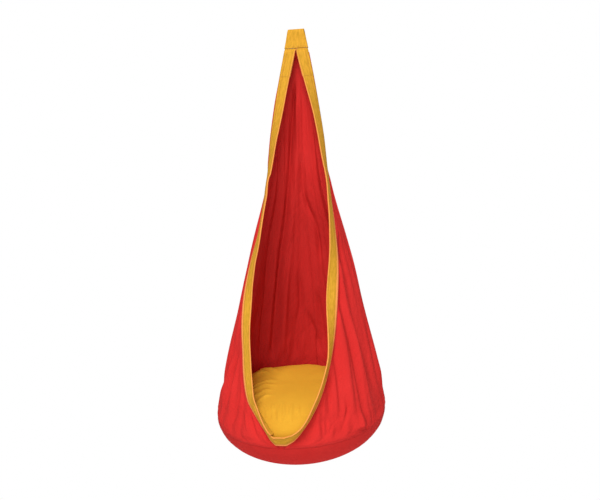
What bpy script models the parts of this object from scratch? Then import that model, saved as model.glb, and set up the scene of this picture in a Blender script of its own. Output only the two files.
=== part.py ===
"""A child's hanging pod swing: a cloth pod with a bound opening, a hanging loop and an air cushion.

Metres, +Z up. The origin is the point of the loop's inside that bears on the hook bar. The opening
faces -Y. The pod is a stack of round sections that widen and tilt from the neck down to the ring,
the widest place, and a round bowl closes it below the ring.
"""
import math

import bmesh
import bpy
from mathutils import Matrix, Vector

# Hook and hanging loop
HOOK_BAR_RADIUS = 0.006
LOOP_TOP_HALF_WIDTH = 0.0275
LOOP_COVER_THICKNESS = 0.0012
LOOP_WEBBING_THICKNESS = 0.0018
LOOP_COVER_BOTTOM = 0.063
WEBBING_LEG_SIDE_MARGIN = 0.003
WEBBING_LEG_START = 0.007

# Neck, where the two bands meet inside the loop
NECK_DROP = 0.078
NECK_HALF_WIDTH = 0.0445
NECK_THICKNESS = 0.003
NECK_TOP_DROP = 0.037

# Pod
RING_DROP = 1.298
RING_RADIUS = 0.285
SEAT_TILT_DEG = 14.5
BOWL_DEPTH = 0.154
CLOTH_THICKNESS = 0.0012
NECK_DEPTH_SHARE = 0.45
ROUND_FROM = 0.6
LAP_LENGTH = 0.012
LAP_CLEARANCE = 0.0011
BELLY_SHIFT = -0.0115
LAP_FIRST_DEG = 0.8
LAP_SECOND_DEG = 4.5

# Band bound round the opening's edge
BAND_WIDTH = 0.042
BAND_LEAF_THICKNESS = 0.0008
BAND_SLOT_HALF = 0.0015
BAND_LEAF_START = 0.002
BAND_NOSE_LENGTH = 0.0012
BAND_SLOT_END = 0.0022
HEM_DEPTH = 0.008
HEM_END_DEPTH = 0.0015
BAND_WEBBING_THICKNESS = 0.0014
BAND_WEBBING_START = 0.0125
BAND_WEBBING_END = 0.0375
SEAM_END_ANGLE_DEG = 3.5
UPRIGHT_FROM = 0.985

# Cushion, its cover and its zip
CUSHION_CLEARANCE = 0.016
CUSHION_CROWN = 0.090
CROWN_FULLNESS = 0.62
COVER_THICKNESS = 0.0010
GUSSET_HALF_HEIGHT = 0.012
ZIP_ARC_DEG = 120.0
ZIP_GAP_HALF = 0.0020
COIL_HALF_HEIGHT = 0.0017
COIL_PROUD = 0.0012
STOP_LENGTH = 0.003
SLIDER_LENGTH = 0.011
SLIDER_HEIGHT = 0.009
SLIDER_THICKNESS = 0.0016
SLIDER_START_DEG = 4.0
EAR_THICKNESS = 0.0012
EAR_HEIGHT = 0.0034
PIN_RADIUS = 0.0008
PULL_LENGTH = 0.018
PULL_WIDTH = 0.0042
PULL_THICKNESS = 0.0030

# Air bladder and its valve
BLADDER_WALL = 0.0008
BLADDER_CLEARANCE = 0.0005
DIMPLE_RADIUS = 0.045
DIMPLE_FLOOR_RADIUS = 0.028
DIMPLE_DEPTH = 0.030
DIMPLE_SHOULDER = 0.0075
VALVE_BORE_RADIUS = 0.0070
VALVE_FLANGE_RADIUS = 0.013
VALVE_FLANGE_THICKNESS = 0.0015
VALVE_TUBE_LENGTH = 0.012
VALVE_INNER_RADIUS = 0.0036
PLUG_SHAFT_LENGTH = 0.010
PLUG_TAPER = 0.9
PLUG_HEAD_RADIUS = 0.0065
PLUG_HEAD_THICKNESS = 0.0025

FIT_GAP = 0.0003
PANEL_ROWS = 26
PANEL_COLUMNS = 18
ROW_CROWDING = 1.5
TANGENT_STEP = 0.004
COVER_SEGMENTS = 36
TOP_STEPS = 8
BOWL_STEPS = 8
ZIP_SEGMENTS = 24
PIN_SEGMENTS = 12
VALVE_SEGMENTS = 24
HOOK_ARC_STEPS = 14
COVER_ARC_STEPS = 6

# How far the half-width has spread from the neck's to the ring's, down the pod
SPREAD = ((0.0, 0.0), (0.09, 0.083), (0.23, 0.192), (0.37, 0.272), (0.54, 0.498), (0.68, 0.664),
          (0.82, 0.83), (1.0, 1.0))
# Angle of the opening's seam from the front, in degrees, down each side of the pod
LEFT_SEAM = ((0.0, 90.0), (0.12, 79.0), (0.35, 75.0), (0.41, 59.0), (0.50, 49.5), (0.58, 55.0), (0.66, 56.5),
             (0.72, 50.5), (0.80, 39.5), (0.86, 34.0), (0.91, 27.5), (0.94, 19.5), (0.97, 11.5), (0.99, 7.0),
             (1.0, SEAM_END_ANGLE_DEG))
RIGHT_SEAM = ((0.0, 90.0), (0.33, 90.0), (0.43, 75.5), (0.51, 66.3), (0.58, 60.8), (0.68, 51.0), (0.77, 41.8),
              (0.85, 33.0), (0.90, 26.8), (0.94, 20.0), (0.97, 13.5), (0.99, 8.3), (1.0, SEAM_END_ANGLE_DEG))
# How far each band is curled in from the pod's wall, in degrees, down the pod
LEFT_CURL = ((0.0, 75.0), (0.06, 66.0), (0.13, 53.0), (0.23, 37.0), (0.33, 17.0), (0.41, -3.0), (0.50, -15.0),
             (0.56, -2.0), (0.63, 17.0), (0.69, 28.0), (0.80, 7.0), (0.86, 3.0), (0.91, -12.0), (0.95, -39.0),
             (0.975, -52.0), (1.0, -42.0))
RIGHT_CURL = ((0.0, 66.0), (0.07, 48.0), (0.14, 30.0), (0.25, 17.0), (0.34, 1.0), (0.45, -9.0), (0.52, -4.0),
              (0.60, 12.0), (0.66, 19.0), (0.70, 9.0), (0.76, -21.0), (0.82, -51.0), (0.86, -57.0),
              (0.92, -60.0), (0.965, -71.0), (0.985, -60.0), (1.0, -42.0))
# The cloth's main folds: angle at the neck and at the ring, height (negative is a valley), half width
# in degrees, and where down the pod each starts and ends
FOLDS = (
    (40, 65, -0.010, 11, 0.58, 1.00),
    (48, 70, 0.009, 11, 0.54, 0.97),
    (43, 52, 0.006, 8, 0.70, 0.98),
    (49, 33, -0.008, 8, 0.84, 1.00),
    (88, 79, -0.010, 11, 0.30, 0.96),
    (106, 90, 0.008, 12, 0.25, 0.96),
    (113, 101, -0.010, 12, 0.10, 0.94),
    (128, 117, 0.009, 13, 0.05, 0.95),
    (143, 133, -0.009, 13, 0.08, 0.92),
    (157, 149, 0.008, 12, 0.05, 0.92),
    (172, 163, -0.008, 12, 0.10, 0.72),
    (-70, -38, -0.007, 9, 0.62, 0.92),
    (-92, -58, 0.004, 12, 0.30, 0.97),
    (-100, -78, -0.010, 15, 0.15, 0.94),
    (-113, -95, 0.009, 13, 0.08, 0.95),
    (-126, -111, -0.009, 13, 0.08, 0.90),
    (-124, -134, 0.007, 12, 0.15, 0.95),
    (-166, -142, 0.011, 12, 0.04, 0.93),
    (-176, -152, -0.007, 12, 0.08, 0.93),
)
FOLD_TOP_FADE = 0.16
FOLD_FOOT_FADE = 0.12
FOLD_SEAM_FADE_DEG = 12.0

RED = (200, 30, 32)
YELLOW = (236, 172, 52)
WEBBING_WHITE = (224, 222, 214)
BLADDER_BLUE = (70, 130, 190)
VALVE_WHITE = (232, 232, 228)
STEEL = (190, 190, 192)


def srgb(colour):
    """A linear colour from 0 to 255 screen values."""
    def linear(value):
        share = value / 255
        return share / 12.92 if share <= 0.04045 else ((share + 0.055) / 1.055) ** 2.4
    return tuple(linear(value) for value in colour) + (1.0,)


def make_material(name, colour, roughness, metallic=0.0):
    material = bpy.data.materials.new(name)
    material.use_nodes = True
    shader = material.node_tree.nodes["Principled BSDF"]
    shader.inputs["Base Color"].default_value = srgb(colour)
    shader.inputs["Roughness"].default_value = roughness
    shader.inputs["Metallic"].default_value = metallic
    material.diffuse_color = srgb(colour)
    return material


def add_object(name, vertices, faces, colour, roughness=0.9, metallic=0.0, frame=None):
    """A closed mesh with its faces turned outwards, as one object with its own material."""
    mesh = bpy.data.meshes.new(name)
    mesh.from_pydata([tuple(v) for v in vertices], [], faces)
    shell = bmesh.new()
    shell.from_mesh(mesh)
    bmesh.ops.recalc_face_normals(shell, faces=shell.faces)
    if shell.calc_volume(signed=True) < 0:
        bmesh.ops.reverse_faces(shell, faces=shell.faces)
    shell.to_mesh(mesh)
    shell.free()
    mesh.materials.append(make_material(name, colour, roughness, metallic))
    thing = bpy.data.objects.new(name, mesh)
    bpy.context.collection.objects.link(thing)
    if frame is not None:
        thing.matrix_world = frame
    return thing


def spline(stations, x):
    """The value at x of a smooth curve through the stations, which are (x, value) in order."""
    x = min(max(x, stations[0][0]), stations[-1][0])
    last = len(stations) - 1
    i = next(k for k in range(last) if x <= stations[k + 1][0])
    (x0, y0), (x1, y1) = stations[i], stations[i + 1]

    def slope(k):
        before, after = stations[max(k - 1, 0)], stations[min(k + 1, last)]
        return (after[1] - before[1]) / (after[0] - before[0])
    step = x1 - x0
    t = (x - x0) / step
    return ((2 * t**3 - 3 * t**2 + 1) * y0 + (t**3 - 2 * t**2 + t) * step * slope(i)
            + (3 * t**2 - 2 * t**3) * y1 + (t**3 - t**2) * step * slope(i + 1))


def ease(t):
    t = min(max(t, 0.0), 1.0)
    return t * t * (3 - 2 * t)


# The pod's wall: phi is the angle from the front in degrees, positive to the right, and v runs from
# 0 at the neck to 1 at the ring.

def seam_angle(side, v):
    """The seam's angle at v, on the left where side is -1 and on the right where it is 1."""
    return spline(RIGHT_SEAM if side > 0 else LEFT_SEAM, v)


def half_width(v):
    return NECK_HALF_WIDTH + (RING_RADIUS - NECK_HALF_WIDTH) * spline(SPREAD, v)


def tilt(v):
    return math.radians(SEAT_TILT_DEG) * v * v


def section_centre(v):
    return Vector((0, BELLY_SHIFT * v, -(NECK_DROP + v * (RING_DROP - NECK_DROP))))


def fold_height(phi, v):
    """The height of the cloth's main folds, which fade out at the opening's seam and down the back."""
    start = seam_angle(phi, v)
    fade = ease((abs(phi) - start) / FOLD_SEAM_FADE_DEG) * ease((180 - abs(phi)) / FOLD_SEAM_FADE_DEG)
    total = 0.0
    for at_neck, at_ring, height, half, top, foot in FOLDS:
        away = abs(phi - at_neck - (at_ring - at_neck) * v) / half
        along = ease((v - top) / FOLD_TOP_FADE) * ease((foot - v) / FOLD_FOOT_FADE)
        total += height * along * (1 - ease(away))
    return total * fade


def wall_point(phi, v, offset=0.0):
    """A point of the wall's middle surface, moved outwards by offset."""
    a = math.radians(phi)
    width = half_width(v)
    back = width * (NECK_DEPTH_SHARE + (1 - NECK_DEPTH_SHARE) * ease(v / ROUND_FROM))
    depth = width if math.cos(a) > 0 else back
    x, y = width * math.sin(a), -depth * math.cos(a)
    normal = Vector((depth * math.sin(a), -width * math.cos(a))).normalized()
    move = offset + fold_height(phi, v)
    x, y = x + normal.x * move, y + normal.y * move
    t = tilt(v)
    return section_centre(v) + Vector((x, y * math.cos(t), y * math.sin(t)))


def ring_frame():
    """The frame of the seat: +Z is the ring's axis, and the opening is at -Y."""
    return Matrix.Translation(section_centre(1)) @ Matrix.Rotation(tilt(1), 4, "X")


def lap_point(phi, offset):
    """A point of the panel's lower edge, which laps over the bowl below the ring."""
    angle = LAP_LENGTH / BOWL_DEPTH
    r = (RING_RADIUS + offset) * math.cos(angle)
    a = math.radians(phi)
    local = Vector((r * math.sin(a), -r * math.cos(a), -(BOWL_DEPTH + offset) * math.sin(angle)))
    return ring_frame() @ local


def row_fraction(i):
    """The rows close up towards the ring, where the opening's edge turns level."""
    return 1 - (1 - i / PANEL_ROWS) ** ROW_CROWDING


# The opening's seam and the frame of the band along it

def seam_point(side, t):
    """t runs from 0 at the neck to 1 at the ring, then to 2 at the middle of the lip."""
    if t <= 1:
        return wall_point(side * seam_angle(side, t), t)
    return wall_point(side * SEAM_END_ANGLE_DEG * (2 - t), 1)


def band_frame(side, t, curl_stations):
    """The seam's point, the direction across the band and the band's outward normal."""
    low, high = max(t - TANGENT_STEP, 0.0), min(t + TANGENT_STEP, 2.0)
    along = (seam_point(side, high) - seam_point(side, low)).normalized()
    phi = math.radians(side * (seam_angle(side, t) if t <= 1 else SEAM_END_ANGLE_DEG * (2 - t)))
    outward = Vector((math.sin(phi), -math.cos(phi), 0.0))
    outward = (outward - along * outward.dot(along)).normalized()
    across = (along.cross(outward) * side).normalized()
    across = across.lerp(Vector((0, 0, 1)), ease((t - UPRIGHT_FROM) / (1 - UPRIGHT_FROM)))
    across = (across - outward * across.dot(outward)).normalized()
    curl = math.radians(spline(curl_stations, min(t, 1.0)))
    turned = across * math.cos(curl) - outward * math.sin(curl)
    normal = outward * math.cos(curl) + across * math.sin(curl)
    return seam_point(side, t), turned, normal, along


def slide_to_plane(point, along, axis, value):
    """The point moved along the band until it lies in the plane where its axis coordinate is value."""
    return point + along * ((value - point[axis]) / along[axis])


def band_stations():
    rows = [row_fraction(i) for i in range(PANEL_ROWS + 1)]
    return rows + [2.0]


def sweep_band(name, side, curl_stations, section, colour):
    """A closed section swept along one side of the opening, cut level at the neck and plumb at the lip."""
    vertices, faces = [], []
    stations = band_stations()
    for t in stations:
        origin, across, normal, along = band_frame(side, t, curl_stations)
        for e, n in section:
            point = origin + across * e + normal * n
            if t == 0:
                point = slide_to_plane(point, along, 2, -NECK_DROP)
            if t == 2:
                point = slide_to_plane(point, along, 0, side * FIT_GAP / 2)
            vertices.append(point)
    size = len(section)
    for i in range(len(stations) - 1):
        for j in range(size):
            k = (j + 1) % size
            a, b, c, d = i * size + j, i * size + k, (i + 1) * size + k, (i + 1) * size + j
            rising = section[k][0] > section[j][0]
            faces += [(a, b, d), (b, c, d)] if rising else [(a, b, c), (a, c, d)]
    faces.append(tuple(range(size)))
    faces.append(tuple((len(stations) - 1) * size + j for j in reversed(range(size))))
    return add_object(name, vertices, faces, colour)


def binding_section():
    """A folded tape: two leaves joined along the free edge, open at the seam for the panel's hem."""
    inner, outer = BAND_SLOT_HALF, BAND_SLOT_HALF + BAND_LEAF_THICKNESS
    steps = (BAND_LEAF_START, BAND_WEBBING_START, BAND_WEBBING_END)
    nose_start = BAND_WIDTH - BAND_NOSE_LENGTH
    nose = [(nose_start, inner), (BAND_WIDTH, 0.0), (nose_start, -inner)]
    slot_end = [(BAND_WIDTH - BAND_SLOT_END, 0.0)]
    return ([(e, outer) for e in steps] + nose + [(e, -outer) for e in reversed(steps)]
            + [(e, -inner) for e in steps] + slot_end + [(e, inner) for e in reversed(steps)])


def webbing_section():
    half = BAND_WEBBING_THICKNESS / 2
    low, high = BAND_WEBBING_START + FIT_GAP / 2, BAND_WEBBING_END - FIT_GAP / 2
    return [(low, half), (high, half), (high, -half), (low, -half)]


def build_band(side, word, curl_stations):
    sweep_band(f"opening_band_{word}", side, curl_stations, binding_section(), YELLOW)
    sweep_band(f"band_webbing_{word}", side, curl_stations, webbing_section(), WEBBING_WHITE)


def panel_row(side, i, curl_stations, offset):
    """One row of the panel: the hem inside the band, the seam, and the wall round to the back."""
    v = row_fraction(i)
    origin, across, normal, along = band_frame(side, v, curl_stations)
    depth = HEM_DEPTH if i < PANEL_ROWS else HEM_END_DEPTH
    row = [origin + across * e + normal * offset for e in (depth, FIT_GAP)]
    start = seam_angle(side, v)
    for j in range(1, PANEL_COLUMNS + 1):
        row.append(wall_point(side * (start + (180 - start) * j / PANEL_COLUMNS), v, offset))
    if i == 0:
        row = [slide_to_plane(point, along, 2, -NECK_DROP - FIT_GAP) for point in row]
    row[-1].x = side * FIT_GAP / 2
    return row


def panel_lap(side, offset):
    """The panel's lowest row, below the ring."""
    row = [lap_point(side * phi, offset) for phi in (LAP_FIRST_DEG, LAP_SECOND_DEG)]
    for j in range(1, PANEL_COLUMNS + 1):
        phi = SEAM_END_ANGLE_DEG + (180 - SEAM_END_ANGLE_DEG) * j / PANEL_COLUMNS
        row.append(lap_point(side * phi, offset))
    row[-1].x = side * FIT_GAP / 2
    return row


def build_panel(side, word, curl_stations):
    """One side of the pod, from its hem inside the band round to the seam down the back."""
    layers = []
    for offset in (CLOTH_THICKNESS / 2, -CLOTH_THICKNESS / 2):
        rows = [panel_row(side, i, curl_stations, offset) for i in range(PANEL_ROWS + 1)]
        layers.append(rows + [panel_lap(side, offset)])
    add_sheet(f"side_panel_{word}", layers[0], layers[1], RED)


def add_sheet(name, front, back, colour):
    """A closed sheet between two equal grids of points."""
    rows, columns = len(front), len(front[0])
    vertices = [p for grid in (front, back) for row in grid for p in row]
    count = rows * columns

    def at(layer, i, j):
        return layer * count + i * columns + j
    faces = []
    for i in range(rows - 1):
        for j in range(columns - 1):
            for layer in (0, 1):
                a, b = at(layer, i, j), at(layer, i, j + 1)
                c, d = at(layer, i + 1, j + 1), at(layer, i + 1, j)
                faces += [(a, b, c), (a, c, d)] if layer == 0 else [(a, c, b), (a, d, c)]
    edge = ([(0, j) for j in range(columns)] + [(i, columns - 1) for i in range(1, rows)]
            + [(rows - 1, j) for j in range(columns - 2, -1, -1)] + [(i, 0) for i in range(rows - 2, 0, -1)])
    for (i, j), (k, m) in zip(edge, edge[1:] + edge[:1]):
        faces.append((at(0, i, j), at(1, i, j), at(1, k, m), at(0, k, m)))
    return add_object(name, vertices, faces, colour)


# Turned pieces, in the seat's frame

def turn(name, profile, colour, segments=COVER_SEGMENTS, roughness=0.9, metallic=0.0, closed=True,
         frame=None):
    """The profile of (radius, height) points turned about the seat's axis; a radius of 0 is a pole."""
    vertices, rings = [], []
    for r, h in profile:
        if r < 1e-7:
            rings.append([len(vertices)] * segments)
            vertices.append((0, 0, h))
            continue
        rings.append([len(vertices) + k for k in range(segments)])
        for k in range(segments):
            a = 2 * math.pi * k / segments
            vertices.append((r * math.sin(a), -r * math.cos(a), h))
    pairs = list(zip(rings, rings[1:]))
    if closed:
        pairs.append((rings[-1], rings[0]))
    faces = []
    for low, high in pairs:
        for k in range(segments):
            m = (k + 1) % segments
            corners = [low[k], low[m], high[m], high[k]]
            faces.append(tuple(dict.fromkeys(corners)))
    return add_object(name, vertices, faces, colour, roughness, metallic, frame or ring_frame())


def bowl_curve(radius, depth, steps, start=0):
    """Points from the rim down to the pole of a round bowl."""
    angles = [math.pi / 2 * i / steps for i in range(start, steps + 1)]
    points = [(radius * math.cos(a), -depth * math.sin(a)) for a in angles]
    points[-1] = (0.0, -depth)
    return points


def crown_curve(radius, height, base, steps):
    """Points from the rim up to the pole of the cushion's full crown."""
    points = []
    for i in range(steps + 1):
        a = math.pi / 2 * i / steps
        points.append((radius * math.cos(a) ** CROWN_FULLNESS, base + height * math.sin(a)))
    points[-1] = (0.0, base + height)
    return points


def cushion_radius():
    return RING_RADIUS - CUSHION_CLEARANCE


def bowl_outer_radius():
    return RING_RADIUS - CLOTH_THICKNESS / 2 - LAP_CLEARANCE


def bowl_outer_depth():
    return BOWL_DEPTH - CLOTH_THICKNESS / 2 - LAP_CLEARANCE


def cover_bottom_depth():
    return bowl_outer_depth() - CLOTH_THICKNESS - 1.5 * FIT_GAP


def build_bowl():
    radius, depth = bowl_outer_radius(), bowl_outer_depth()
    outer = bowl_curve(radius, depth, BOWL_STEPS)
    inner = bowl_curve(radius - CLOTH_THICKNESS, depth - CLOTH_THICKNESS, BOWL_STEPS)
    rim = -2 * FIT_GAP
    outer[0], inner[0] = (outer[0][0], rim), (inner[0][0], rim)
    turn("base_panel", outer + inner[::-1], RED, closed=True)


def bottom_curve(radius, depth, steps):
    """The cover's underside, which starts at the gusset's lower edge."""
    points = bowl_curve(radius, depth, steps)
    points[0] = (radius, -GUSSET_HALF_HEIGHT)
    while points[1][1] > -GUSSET_HALF_HEIGHT * 1.5:
        points.pop(1)
    return points


def build_cushion_cover():
    radius = cushion_radius()
    base = GUSSET_HALF_HEIGHT
    crown = CUSHION_CROWN - base
    outer = crown_curve(radius, crown, base, TOP_STEPS)
    inner = crown_curve(radius - COVER_THICKNESS, crown - COVER_THICKNESS, base, TOP_STEPS)
    turn("cushion_cover_top", outer + inner[::-1], YELLOW, closed=True)
    outer = bottom_curve(radius, cover_bottom_depth(), BOWL_STEPS)
    inner = bottom_curve(radius - COVER_THICKNESS, cover_bottom_depth() - COVER_THICKNESS, BOWL_STEPS)
    turn("cushion_cover_bottom", outer + inner[::-1], YELLOW, closed=True)


def add_arc(name, start, end, radii, heights, colour, segments, roughness=0.9, metallic=0.0):
    """A strip that follows the cushion's rim between two angles, counted from the back."""
    vertices, faces = [], []
    corners = [(radii[1], heights[0]), (radii[1], heights[1]), (radii[0], heights[1]), (radii[0], heights[0])]
    for k in range(segments + 1):
        a = math.radians(start + (end - start) * k / segments)
        for r, h in corners:
            vertices.append((r * math.sin(a), r * math.cos(a), h))
    for k in range(segments):
        for j in range(4):
            m = (j + 1) % 4
            faces.append((4 * k + j, 4 * k + m, 4 * k + 4 + m, 4 * k + 4 + j))
    faces += [(0, 1, 2, 3), tuple(4 * segments + j for j in (3, 2, 1, 0))]
    return add_object(name, vertices, faces, colour, roughness, metallic, ring_frame())


def build_gusset_and_zip():
    radius = cushion_radius()
    half_arc = ZIP_ARC_DEG / 2
    edge = GUSSET_HALF_HEIGHT - FIT_GAP
    gap = math.degrees(FIT_GAP / radius)
    skin = (radius - COVER_THICKNESS, radius)
    add_arc("cushion_gusset", half_arc + gap, 360 - half_arc - gap, skin, (-edge, edge), YELLOW,
            2 * ZIP_SEGMENTS)
    add_arc("zip_tape_upper", -half_arc, half_arc, skin, (ZIP_GAP_HALF, edge), YELLOW, ZIP_SEGMENTS)
    add_arc("zip_tape_lower", -half_arc, half_arc, skin, (-edge, -ZIP_GAP_HALF), YELLOW, ZIP_SEGMENTS)
    stop = math.degrees(STOP_LENGTH / radius)
    coil = (radius - COVER_THICKNESS, radius + COIL_PROUD)
    ends = half_arc - stop - gap
    heights = (-COIL_HALF_HEIGHT, COIL_HALF_HEIGHT)
    add_arc("zip_coil", -ends, ends, coil, heights, YELLOW, ZIP_SEGMENTS, 0.5)
    for word, sign in (("start", -1), ("end", 1)):
        inner, outer = sorted((sign * half_arc, sign * (half_arc - stop)))
        add_arc(f"zip_stop_{word}", inner, outer, coil, heights, STEEL, 1, 0.35, 1.0)


def box_points(low, high):
    return [(x, y, z) for x in (low[0], high[0]) for y in (low[1], high[1]) for z in (low[2], high[2])]


BOX_FACES = [(0, 1, 3, 2), (4, 6, 7, 5), (0, 4, 5, 1), (2, 3, 7, 6), (0, 2, 6, 4), (1, 5, 7, 3)]


def join_with(thing, tool, operation):
    """Join a tool to the thing, or cut it away, and apply the change."""
    modifier = thing.modifiers.new(operation, "BOOLEAN")
    modifier.object = tool
    modifier.operation = operation
    modifier.solver = "EXACT"
    bpy.context.view_layer.update()
    evaluated = thing.evaluated_get(bpy.context.evaluated_depsgraph_get())
    mesh = bpy.data.meshes.new_from_object(evaluated)
    thing.modifiers.clear()
    thing.data = mesh
    bpy.data.objects.remove(tool)


def pin_object(name, radius, length, frame):
    """A round bar along Z."""
    profile = [(0.0, -length / 2), (radius, -length / 2), (radius, length / 2), (0.0, length / 2)]
    return turn(name, profile, STEEL, PIN_SEGMENTS, closed=False, frame=frame)


def slider_frame():
    """The slider's own frame on the rim: +X runs along the zip, +Y points outwards."""
    angle = ZIP_ARC_DEG / 2 - SLIDER_START_DEG
    return ring_frame() @ Matrix.Rotation(math.radians(angle), 4, "Z")


def build_slider_and_pull():
    frame = slider_frame()
    inside = cushion_radius() + COIL_PROUD + FIT_GAP
    outside = inside + SLIDER_THICKNESS
    half_length, half_height = SLIDER_LENGTH / 2, SLIDER_HEIGHT / 2
    slider = add_object("zip_slider", box_points((-half_length, inside, -half_height),
                                                 (half_length, outside, half_height)),
                        BOX_FACES, STEEL, 0.35, 1.0, frame)
    ear_inside = PULL_WIDTH / 2 + FIT_GAP
    ear_x = half_length - 2 * EAR_THICKNESS
    for sign in (1, -1):
        low, high = sorted((sign * ear_inside, sign * (ear_inside + EAR_THICKNESS)))
        ear = add_object("ear", box_points((ear_x - EAR_THICKNESS, outside - EAR_THICKNESS / 2, low),
                                           (ear_x + EAR_THICKNESS, outside + EAR_HEIGHT, high)),
                         BOX_FACES, STEEL, 0.35, 1.0, frame)
        join_with(slider, ear, "UNION")
    pin_y = outside + EAR_HEIGHT - EAR_THICKNESS
    pin_frame = frame @ Matrix.Translation((ear_x, pin_y, 0))
    pin = pin_object("pin", PIN_RADIUS, 2 * ear_inside + EAR_THICKNESS, pin_frame)
    join_with(slider, pin, "UNION")

    half_pull, half_thick = PULL_WIDTH / 2, PULL_THICKNESS / 2
    eye = PIN_RADIUS + FIT_GAP
    tab_low = (2 * eye - PULL_LENGTH, -half_thick, -half_pull)
    tab_high = (2 * eye, half_thick, half_pull)
    pull = add_object("zip_pull", box_points(tab_low, tab_high), BOX_FACES, STEEL, 0.35, 1.0, pin_frame)
    join_with(pull, pin_object("eye", eye, 2 * PULL_WIDTH, pin_frame), "DIFFERENCE")


def offset_profile(profile, distance):
    """The profile moved to its left side by distance, with mitred corners."""
    moved = []
    for i, (r, h) in enumerate(profile):
        before, after = profile[max(i - 1, 0)], profile[min(i + 1, len(profile) - 1)]
        ways = []
        for (r0, h0), (r1, h1) in ((before, (r, h)), ((r, h), after)):
            way = Vector((-(h1 - h0), r1 - r0))
            if way.length > 1e-9:
                ways.append(way.normalized())
        normal = sum(ways, Vector((0, 0))).normalized()
        spread = max(normal.dot(ways[0]), 0.5)
        point = Vector((r, h)) + normal * distance / spread
        moved.append((0.0 if r < 1e-7 else point.x, point.y))
    return moved


def bladder_floor():
    """The height of the dimple's floor, where the valve sits."""
    depth = cover_bottom_depth() - COVER_THICKNESS - BLADDER_CLEARANCE
    return -depth + DIMPLE_DEPTH


def build_bladder():
    radius = cushion_radius() - COVER_THICKNESS - BLADDER_CLEARANCE
    base = GUSSET_HALF_HEIGHT
    crown = CUSHION_CROWN - base - COVER_THICKNESS - BLADDER_CLEARANCE
    depth = cover_bottom_depth() - COVER_THICKNESS - BLADDER_CLEARANCE
    top = crown_curve(radius, crown, base, TOP_STEPS)[::2]
    bottom = [p for p in bottom_curve(radius, depth, BOWL_STEPS)[::2] if p[0] > DIMPLE_RADIUS]
    floor = bladder_floor()
    dimple = [(DIMPLE_RADIUS, -depth + DIMPLE_SHOULDER), (DIMPLE_FLOOR_RADIUS, floor),
              (VALVE_BORE_RADIUS, floor)]
    outer = top[::-1] + bottom + dimple
    inner = offset_profile(outer, -BLADDER_WALL)
    inner[-1] = (VALVE_BORE_RADIUS, floor + BLADDER_WALL)
    turn("air_bladder", outer + inner[::-1], BLADDER_BLUE, COVER_SEGMENTS // 2, 0.35, closed=True)


def build_valve():
    floor = bladder_floor()
    tube = VALVE_BORE_RADIUS - FIT_GAP
    flange_top = floor - FIT_GAP
    flange_bottom = flange_top - VALVE_FLANGE_THICKNESS
    stem = [(VALVE_INNER_RADIUS, flange_bottom), (VALVE_FLANGE_RADIUS, flange_bottom),
            (VALVE_FLANGE_RADIUS, flange_top), (tube, flange_top),
            (tube, floor + VALVE_TUBE_LENGTH), (VALVE_INNER_RADIUS, floor + VALVE_TUBE_LENGTH)]
    turn("valve_stem", stem, VALVE_WHITE, VALVE_SEGMENTS, 0.4)
    shaft = VALVE_INNER_RADIUS - FIT_GAP
    head_top = flange_bottom - FIT_GAP
    head_bottom, tip = head_top - PLUG_HEAD_THICKNESS, head_top + PLUG_SHAFT_LENGTH
    plug = [(0.0, head_bottom), (PLUG_HEAD_RADIUS, head_bottom), (PLUG_HEAD_RADIUS, head_top),
            (shaft, head_top), (shaft * PLUG_TAPER, tip), (0.0, tip)]
    turn("valve_plug", plug, VALVE_WHITE, VALVE_SEGMENTS, 0.4, closed=False)


# Loop and neck, drawn side-on in Y and Z

def band_half_width(drop):
    """The loop widens evenly from its top to the neck."""
    return LOOP_TOP_HALF_WIDTH + (NECK_HALF_WIDTH - LOOP_TOP_HALF_WIDTH) * max(drop, 0.0) / NECK_DROP


def sweep_strip(name, inner_path, outer_path, colour, margin=0.0):
    """A flat band between two side-on paths of (y, z) points, as wide as the loop is at each height."""
    vertices, faces = [], []
    for pair in zip(inner_path, outer_path):
        for y, z in pair:
            w = band_half_width(-z) - margin
            vertices += [(-w, y, z), (w, y, z)]
    for i in range(len(inner_path) - 1):
        a = 4 * i
        for p, q in ((0, 1), (1, 3), (3, 2), (2, 0)):
            faces.append((a + p, a + q, a + 4 + q, a + 4 + p))
    faces += [(0, 1, 3, 2), tuple(4 * (len(inner_path) - 1) + k for k in (2, 3, 1, 0))]
    return add_object(name, vertices, faces, colour)


def leg_half_gap():
    """Half the space between the loop's cover leaves beside the neck."""
    return NECK_THICKNESS / 2 + LOOP_WEBBING_THICKNESS + 2 * FIT_GAP


def loop_path(radius, foot_y, foot_drop, neck_top):
    """Half a loop: up from the foot, slanting out to the hook's circle, and over its top."""
    centre = -HOOK_BAR_RADIUS
    dy, dz = foot_y, -neck_top - centre
    distance = math.hypot(dy, dz)
    touch = math.atan2(dz, dy) + math.acos(radius / distance)
    arc = [touch + (math.pi / 2 - touch) * i / COVER_ARC_STEPS for i in range(COVER_ARC_STEPS + 1)]
    points = [(foot_y, -foot_drop), (foot_y, -neck_top)]
    return points + [(radius * math.cos(a), centre + radius * math.sin(a)) for a in arc]


def mirrored(path):
    return path + [(-y, z) for y, z in path[-2::-1]]


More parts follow.
